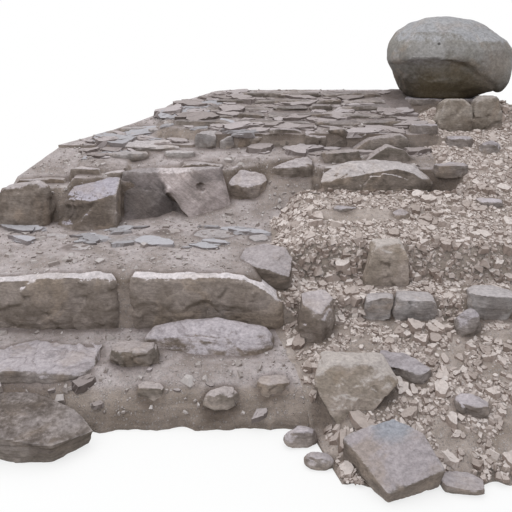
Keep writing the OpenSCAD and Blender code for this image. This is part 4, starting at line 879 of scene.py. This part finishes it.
def earth_piece(node, start, end, left, right, material, slot, cell=0.0155, rows=14):
    """A closed bed of earth: a grid from start to end along y and from left(y) to right(y), with its top at
    the height of the ground, and walls of so many rows of cells down to the floor. The walls on the outside
    are washed in and out, and those between two beds only in their last 120 mm. Beds at the foot end in a
    thin ragged fringe. An attribute says how near a stone is to each point of the top, for the painted
    shade that the soil gets round the stones."""
    wall_fade, fringe_run, fringe_swing = 0.12, 0.16, 0.075
    across = int(round(np.max(right(np.array([start, end])) - left(np.array([start, end]))) / cell))
    along = int(round((end - start) / cell))
    y, share = np.meshgrid(np.linspace(start, end, along + 1), np.linspace(0, 1, across + 1), indexing="ij")
    fringe = 0 * y
    if start < line_1:
        x = left(y) + (right(y) - left(y)) * share
        fringe = 1 - smooth_ramp(y, start, start + fringe_run)
        ragged = rough_field(np.stack([x, 0 * x, 0 * x], -1).reshape(-1, 3), 0.22, 4, 77).reshape(x.shape)
        y = y + fringe * fringe_swing * (0.4 + ragged)
    inside = np.clip(y, start + 1e-5, end - 1e-5)
    x = left(inside) + (right(inside) - left(inside)) * share
    top = ground_height(x, inside) + earth_relief(x.ravel(), y.ravel()).reshape(x.shape)
    near = near_stone[plan_cells(x.ravel(), y.ravel())].reshape(x.shape)
    top = np.maximum(top + 0.006 * near, 0.01)
    top = top - np.minimum(top - 0.003, 0.02) * fringe ** 3
    number = np.arange(x.size).reshape(x.shape)
    quads = np.stack([number[:-1, :-1], number[:-1, 1:], number[1:, 1:], number[1:, :-1]], -1).reshape(-1, 4)
    ring = np.concatenate([number[0, :-1], number[:-1, -1], number[-1, :0:-1], number[:0:-1, 0]])
    skin = np.stack([x, y, top], -1).reshape(-1, 3)
    rim = skin[ring]
    outward = np.zeros((len(ring), 3))
    outward[:, 0] = np.clip(1 - np.abs(rim[:, 0] - right_edge(rim[:, 1])) / wall_fade, 0, 1)
    outward[:, 0] -= np.clip(1 - np.abs(rim[:, 0] - left_edge(rim[:, 1])) / wall_fade, 0, 1)
    outward[:, 1] = np.clip(1 - (line_back - rim[:, 1]) / wall_fade, 0, 1)
    points, faces, above = [skin], [quads], ring
    for k in range(1, rows + 1):
        row = rim * np.array([1, 1, 1 - k / rows])
        row = row + outward * (wall_wash(row) * np.clip(rim[:, 2] / 0.2, 0, 1) * min(k / 2, 1))[:, None]
        below = len(skin) + (k - 1) * len(ring) + np.arange(len(ring))
        faces.append(np.stack([above, below, np.roll(below, -1), np.roll(above, -1)], -1))
        points.append(row)
        above = below
    points = np.concatenate(points)
    faces = np.concatenate(faces).tolist() + [above[::-1].tolist()]
    damp = np.zeros(len(points))
    damp[:len(skin)] = near.ravel()
    piece = finished_piece("bedding_" + node, points, faces, material, slot, [node], damp=damp)
    piece.data.set_sharp_from_angle(angle=radians(50))


def trodden_earth(name, pale, dark, stones, cut=("#71655b", "#9a8d83")):
    """Dry trodden soil: pale dust in clouds over darker soil, brown and layered where it is cut steeply,
    clods 40 mm across, grit 5 and 10 mm across in two colours, and painted shade round the stones."""
    material, tree = empty_material(name)
    place, up = facing(tree)
    clouds = noise(place, 4.5, 6.0, 0.62)
    clods = noise(place, 26.0, 5.0, 0.68)
    grain = noise(place, 260.0, 2.0, 0.7)
    soil = mix(ramp(clouds, 0.38, 0.6), dark, pale)
    steep = ramp(up, 0.9, 0.55, most=0.9)
    layered = add(tree, "Mapping", {"Vector": place, "Scale": (1.6, 1.6, 9.0)}).outputs[0]
    layered = ramp(noise(layered, 1.0, 5.0, 0.65, 0.6), 0.38, 0.62)
    soil = mix(steep, soil, mix(layered, *cut))
    # Grit in cells of two sizes, each cell with its own colour, and shown where its random value is high
    grit = []
    for scale, rare in ((70.0, 0.62), (150.0, 0.55)):
        cells = add(tree, "TexVoronoi", {"Vector": place, "Scale": scale, "Randomness": 1.0}).outputs
        own = add(tree, "SeparateColor", {"Color": cells["Color"]}).outputs
        mask = times(ramp(own[0], rare, rare + 0.02), ramp(cells["Distance"], 0.42, 0.3))
        shown = times(mask, ramp(steep, 0.0, 1.0, 0.75, 0.35))
        soil = mix(shown, soil, mix(own[1], *stones))
        grit.append(mask)
    # Painted shade on the soil round the feet of the stones
    soil = mix(times(attribute(tree, "damp"), 0.55), soil, "#8a7d74", "MULTIPLY")
    gain = times(ramp(grain, 0.3, 0.7, 0.84, 1.16), ramp(clods, 0.3, 0.7, 0.84, 1.16))
    height = calculate("MULTIPLY_ADD", calculate("MAXIMUM", *grit), 0.5, clods)
    height = calculate("MULTIPLY_ADD", grain, 0.35, height)
    surface(tree, soil, gain, height, 0.8, 0.009, 0.95, 1.4, 0.2)
    return material


# Trodden soil: a dry, pale, pinkish grey dust with fine grit, as on the treads
packed_soil = trodden_earth("trodden_soil", pale="#afa5a4", dark="#8f847f", stones=("#88827f", "#b9b2b1"))
# Soil with rubble: browner and darker than the treads, so that the pale broken stones stand out on it
rubble_soil = trodden_earth(
    "soil_with_rubble", pale="#a89c95", dark="#887c73", stones=("#807873", "#bab2af"),
    cut=("#85796f", "#a2968d"))


def straight(place):
    """A side of the earth that runs straight back at the place along x."""
    return lambda y: 0 * y + place


def foot_split(y):
    """The slanting line between the foot bank and the worn side."""
    return np.interp(y, [line_toe, line_kerb], [split_toe, split_kerb])


for node, start, end, left, right in (
        ("foot_earth", line_bank, line_kerb, left_edge, foot_split),
        ("tread_2_earth", line_kerb, line_3, left_edge, straight(split_kerb)),
        ("tread_3_earth", line_3, line_5, left_edge, straight(split_top)),
        ("upper_earth", line_5, line_back, left_edge, straight(split_top)),
        ("right_lower_slope", line_toe, line_kerb, foot_split, right_edge),
        ("right_middle_slope", line_kerb, line_3, straight(split_kerb), right_edge),
        ("right_upper_slope", line_3, line_back, straight(split_top), right_edge)):
    if node.startswith("right"):
        earth_piece(node, start, end, left, right, rubble_soil, "rubble_earth")
    else:
        earth_piece(node, start, end, left, right, packed_soil, "packed_earth")


# Loose stones: angular rubble that has run down the worn side, gravel trodden into the treads, and thin flags
# that lie on the ground like tiles. Each is a broken bit of the same beds, with 6 or 48 flat faces.
def broken_crumbs(kinds, seed):
    """Shapes of broken stone of about unit half size, and their shared faces: cubes whose corners are moved
    at random by up to 0.38, and the upper four then drawn in to 0.3 to 0.95 in plan."""
    chance = np.random.default_rng(seed)
    corners, faces = box_grid((1, 1, 1))
    moved = corners + chance.uniform(-0.38, 0.38, (kinds, 8, 3))
    moved[:, 1::2, :2] *= chance.uniform(0.3, 0.95, (kinds, 1, 2))
    return moved, faces


def split_slabs(kinds, cells, seed):
    """Shapes of flat split stone of unit half size, and their shared faces: a box grid whose plan is drawn
    into a circle and cut by six straight edges at random distances, with uneven faces and leaning edges."""
    chance = np.random.default_rng(seed)
    grid, faces = box_grid(cells)
    plan = grid[:, :2]
    distance = np.maximum(np.linalg.norm(plan, axis=1), 1e-9)
    angle = chance.uniform(-0.5, 0.5, (kinds, 6)) + np.arange(6) * 2 * np.pi / 6
    edge = np.stack([np.cos(angle), np.sin(angle)], -1)
    limit = chance.uniform(0.45, 0.95, (kinds, 6))
    round_plan = plan * (np.abs(plan).max(1) / distance)[:, None]
    way = round_plan / np.maximum(np.linalg.norm(round_plan, axis=1, keepdims=True), 1e-9)
    towards = np.einsum("pa,nka->npk", way, edge)
    most = (limit[:, None, :] / np.maximum(towards, 1e-3)).min(2)
    shapes = np.repeat(grid[None], kinds, axis=0).copy()
    shapes[..., :2] = round_plan * np.minimum(most, 1.0)[..., None]
    shapes[..., :2] *= 1 + 0.1 * grid[None, :, 2:] * chance.uniform(-1.5, 0.5, (kinds, 1, 1))
    shapes += chance.uniform(-1, 1, shapes.shape) * np.array([0.09, 0.09, 0.25])
    return shapes, faces


def turned(count, chance, spin, tip):
    """Turning matrices: a turn of up to spin about the upright, after a tip of up to tip on a level axis."""
    spin, lean = chance.uniform(-spin, spin, count), chance.uniform(-tip, tip, count)
    zero, one = np.zeros(count), np.ones(count)
    upright = np.array([[np.cos(spin), -np.sin(spin), zero], [np.sin(spin), np.cos(spin), zero],
                        [zero, zero, one]])
    level = np.array([[one, zero, zero], [zero, np.cos(lean), -np.sin(lean)],
                      [zero, np.sin(lean), np.cos(lean)]])
    return np.einsum("abn,bcn->nac", upright, level)


def ground_rise(x, y):
    """Rise of the ground along x and along y, over 60 mm."""
    step = 0.03
    return np.stack([ground_height(x + step, y) - ground_height(x - step, y),
                     ground_height(x, y + step) - ground_height(x, y - step)], -1) / (2 * step)


def scattered(name, places, sizes, shapes, flat, spin, tip, material, slot, seed, sink=0.3, lie=0.35):
    """One joined mesh of broken bits at the places, each with its size, a random kind, stretch and turn. They
    lie along the ground up to the slope lie, with the share sink of their height in it. Where spin is small
    they are longer, and lie across the path. The attribute tint is a random share of each bit."""
    chance = np.random.default_rng(seed)
    points, faces = shapes
    count, size = len(places), points.shape[1]
    kind = chance.integers(0, len(points), count)
    stretch = np.stack([chance.uniform(0.8, 1.35, count), chance.uniform(0.6, 1.0, count),
                        chance.uniform(*flat, count)], 1) * sizes[:, None] / 2
    if spin < 1:
        stretch *= np.array([1.35, 0.85, 1])
    bits = np.einsum("nab,npb->npa", turned(count, chance, spin, tip), points[kind] * stretch[:, None, :])
    rise = np.clip(ground_rise(*places[:, :2].T), -lie, lie)
    bits[..., 2] += (bits[..., :2] * rise[:, None, :]).sum(2) + (1 - 2 * sink) * stretch[:, 2][:, None]
    bits += places[:, None, :]
    bits[..., 2] = np.maximum(bits[..., 2], 0.0)
    every = (faces[None] + (np.arange(count) * size)[:, None, None]).reshape(-1, 4)
    piece = finished_piece(name, bits.reshape(-1, 3), every.tolist(), material, slot,
                           tint=np.repeat(chance.uniform(0, 1, count), size))
    piece.data.polygons.foreach_set("use_smooth", np.zeros(len(every), bool))


def mostly_small(smallest, largest, chance, count):
    """Random sizes: the smallest times their ratio to the power of a squared random share."""
    return smallest * (largest / smallest) ** (chance.random(count) ** 2.0)


def loose_places(count, seed, keep, margin):
    """Those of count random places in the plan that the keep rule accepts, that no stone stands on and that
    are a margin within the sides, with the ground's height."""
    chance = np.random.default_rng(seed)
    x, y = chance.uniform(plan_low, (right_boulder, line_back), (count, 2)).T
    free = taken[plan_cells(x, y)] < 0.5
    within = (x > left_edge(y) + margin) & (x < right_edge(y) - margin) & (y < line_back - margin)
    ok = keep(x, y) & free & within
    x, y = x[ok], y[ok]
    return np.stack([x, y, ground_height(x, y) + earth_relief(x, y)], 1)


def rubble_stone(name, colours, sides="#b3a69c"):
    """Broken sandstone, each bit with its own colour between the three given, finely grained, and darkened by
    the colour sides as painted shade where it faces sideways or down."""
    material, tree = empty_material(name)
    place, up = facing(tree)
    tint = attribute(tree, "tint")
    hue = mix(ramp(tint, 0.0, 0.5), *colours[:2])
    hue = mix(ramp(tint, 0.5, 1.0), hue, colours[2])
    # Painted shade on the sides of each bit
    hue = mix(ramp(up, 0.75, 0.2, most=0.75), hue, sides, "MULTIPLY")
    mottle = noise(place, 60.0, 5.0, 0.7)
    surface(tree, hue, ramp(mottle, 0.3, 0.7, 0.84, 1.12), mottle, 0.6, 0.006, 0.92)
    return material


# Broken sandstone: the palest thing on the slope, because its breaks are fresh
rubble = rubble_stone("broken_sandstone_rubble", ("#9b8e87", "#bcb0aa", "#cec4bf"))
# Trodden gravel: near the soil's own colour, and seen as grain more than as stones
gravel = rubble_stone("trodden_gravel", ("#958c88", "#a8a09d", "#b9b2b0"), "#c6bcb5")
# Blue-grey flags: flat cool patches in the warm soil
slate = rubble_stone("blue_grey_flags", ("#8e8a8c", "#9f9c9f", "#aeabaf"))
# Purple-grey flags: warmer flat stones with painted shade on their edges, so that each one shows
tiles = rubble_stone("purple_grey_flags", ("#8a807d", "#9d9391", "#aea5a5"), "#7d7168")
slabs = split_slabs(40, (4, 4, 1), 7)
crumbs = broken_crumbs(40, 6)
half_turn = 3.14


def steepness(x, y):
    """The greater of the two rises of the ground, without its sign."""
    return np.abs(ground_rise(x, y)).max(-1)


def worn_side(x, y):
    """The worn side of the steps behind its toe, with a ragged edge that runs over the built half."""
    ragged = 0.09 * rough_field(level_points(x, y), 0.25, 3, 45)
    return (x > split(y - 0.06 - ragged) + 0.01 + ragged) & (y > line_toe + 0.03)


def worn_uneven(x, y):
    """The worn side but for the bare trodden soil beside the long tread."""
    return worn_side(x, y) & (((x - 0.6) / 0.28) ** 2 + ((y - 0.17) / 0.08) ** 2 > 1)


def worn_patches(x, y):
    """As worn_uneven, with bare soil left in patches below the kerb too."""
    return worn_uneven(x, y) & ((y > line_kerb) | (lattice_noise(level_points(x, y) / 0.16, 29) > -0.05))


def worn_bank(x, y):
    """The steep faces of the worn side, where the plan shows less of the ground than there is."""
    return worn_side(x, y) & (steepness(x, y) > 0.45)


def foot_bank(x, y):
    """The bank before the first row, where small flat stones show between the large ones."""
    return (x <= split(y)) & (y > line_bank + 0.02) & (y < line_1 + 0.12)


def built_side(x, y):
    """The built half of the steps, behind the foot of the bank."""
    return (x <= split(y)) & (y > line_bank + 0.05)


def long_tread(x, y):
    """The middle of the long tread, where flags lie trodden in the earth."""
    return (np.abs(y - 0.16) < 0.2) & (x < 0.06) & (lattice_noise(level_points(x, y) / 0.35, 7) > -0.1)


def upper_ground(x, y):
    """Ground before the back that is nearly level, so that a flag can lie on it."""
    return (y < line_back - 0.05) & (steepness(x, y) < 0.28)


def upper_left(x, y):
    """The worn left of the upper treads."""
    return (y > line_3 + 0.4) & (x < 0.15 - 0.6 * (y - line_3 - 0.3)) & upper_ground(x, y)


def upper_steps(x, y):
    """Between the stones of the upper courses."""
    return (y > line_5 - 0.2) & (x < split_top) & upper_ground(x, y)


for name, side, count, smallest, largest, shapes, flat, spin, tip, material, seed in (
        ("rubble_large", worn_uneven, 3600, 0.034, 0.115, slabs, (0.2, 0.5), half_turn, 0.35, rubble, 91),
        ("rubble_small", worn_patches, 62000, 0.013, 0.036, crumbs, (0.3, 0.65), half_turn, 0.4, rubble, 92),
        ("bank_rubble", worn_bank, 24000, 0.018, 0.06, crumbs, (0.4, 0.75), half_turn, 0.5, rubble, 97),
        ("foot_stones", foot_bank, 900, 0.03, 0.13, slabs, (0.25, 0.5), 0.8, 0.3, tiles, 99),
        ("gravel_large", built_side, 1300, 0.018, 0.055, crumbs, (0.3, 0.6), half_turn, 0.4, gravel, 93),
        ("gravel_small", built_side, 9500, 0.006, 0.018, crumbs, (0.4, 0.9), half_turn, 0.5, gravel, 94),
        ("flags", long_tread, 2600, 0.07, 0.22, slabs, (0.12, 0.22), 0.6, 0.2, slate, 95),
        ("left_flags", upper_left, 3000, 0.08, 0.3, slabs, (0.08, 0.16), 0.5, 0.09, slate, 96),
        ("upper_flags", upper_steps, 3000, 0.07, 0.26, slabs, (0.13, 0.26), 0.3, 0.08, tiles, 98)):
    margin, sink = (0.12, 0.4) if "flags" in name else (0.03, 0.3)
    places = loose_places(count, seed, side, margin)
    sizes = mostly_small(smallest, largest, np.random.default_rng(seed + 50), len(places))
    slot = "rubble_earth" if "rubble" in name else "packed_earth"
    scattered(name, places, sizes, shapes, flat, spin, tip, material, slot, seed, sink)


# The cut sides and the back of the earth: flat stones of the old hillside lie in them as they were laid down,
# level and with most of each stone inside, so that only its broken edge shows.
def wall_places(count, seed, smallest, largest, inset):
    """Random places and sizes on the left, right and back walls, from 20 mm above the floor to well below the
    ground. Each lies inside the washed wall by the share inset of its size, and most are small."""
    chance = np.random.default_rng(seed)
    y = chance.uniform(line_bank, line_back - 0.03, (2, count))
    left = np.stack([left_edge(y[0]), y[0], ground_height(left_edge(y[0]) + 0.001, y[0])], 1)
    right = np.stack([right_edge(y[1]), y[1], ground_height(right_edge(y[1]) - 0.001, y[1])], 1)
    x = chance.uniform(left_back + 0.03, right_boulder - 0.03, int(count * 0.8))
    back = np.stack([x, 0 * x + line_back, ground_height(x, 0 * x + line_back - 0.001)], 1)
    places = np.concatenate([left, right, back])
    outward = np.repeat([[-1.0, 0, 0], [1.0, 0, 0], [0, 1.0, 0]], [len(left), len(right), len(back)], axis=0)
    sizes = mostly_small(smallest, largest, chance, len(places))
    height = chance.uniform(0.02, 1.4, len(places))
    kept = height < places[:, 2] - 0.035 - 0.3 * sizes
    places, outward, sizes = places[kept], outward[kept], sizes[kept]
    places[:, 2] = height[kept]
    return places + outward * (wall_wash(places) - inset * sizes)[:, None], sizes


for name, count, smallest, largest, inset, flat, shapes, seed in (
        ("wall_rubble_large", 260, 0.09, 0.3, 0.26, (0.22, 0.5), slabs, 101),
        ("wall_rubble_small", 1300, 0.03, 0.09, 0.28, (0.4, 0.75), crumbs, 102)):
    places, sizes = wall_places(count, seed, smallest, largest, inset)
    scattered(name, places, sizes, shapes, flat, half_turn, 0.2, rubble, "rubble_earth", seed, 0.5, 0.1)
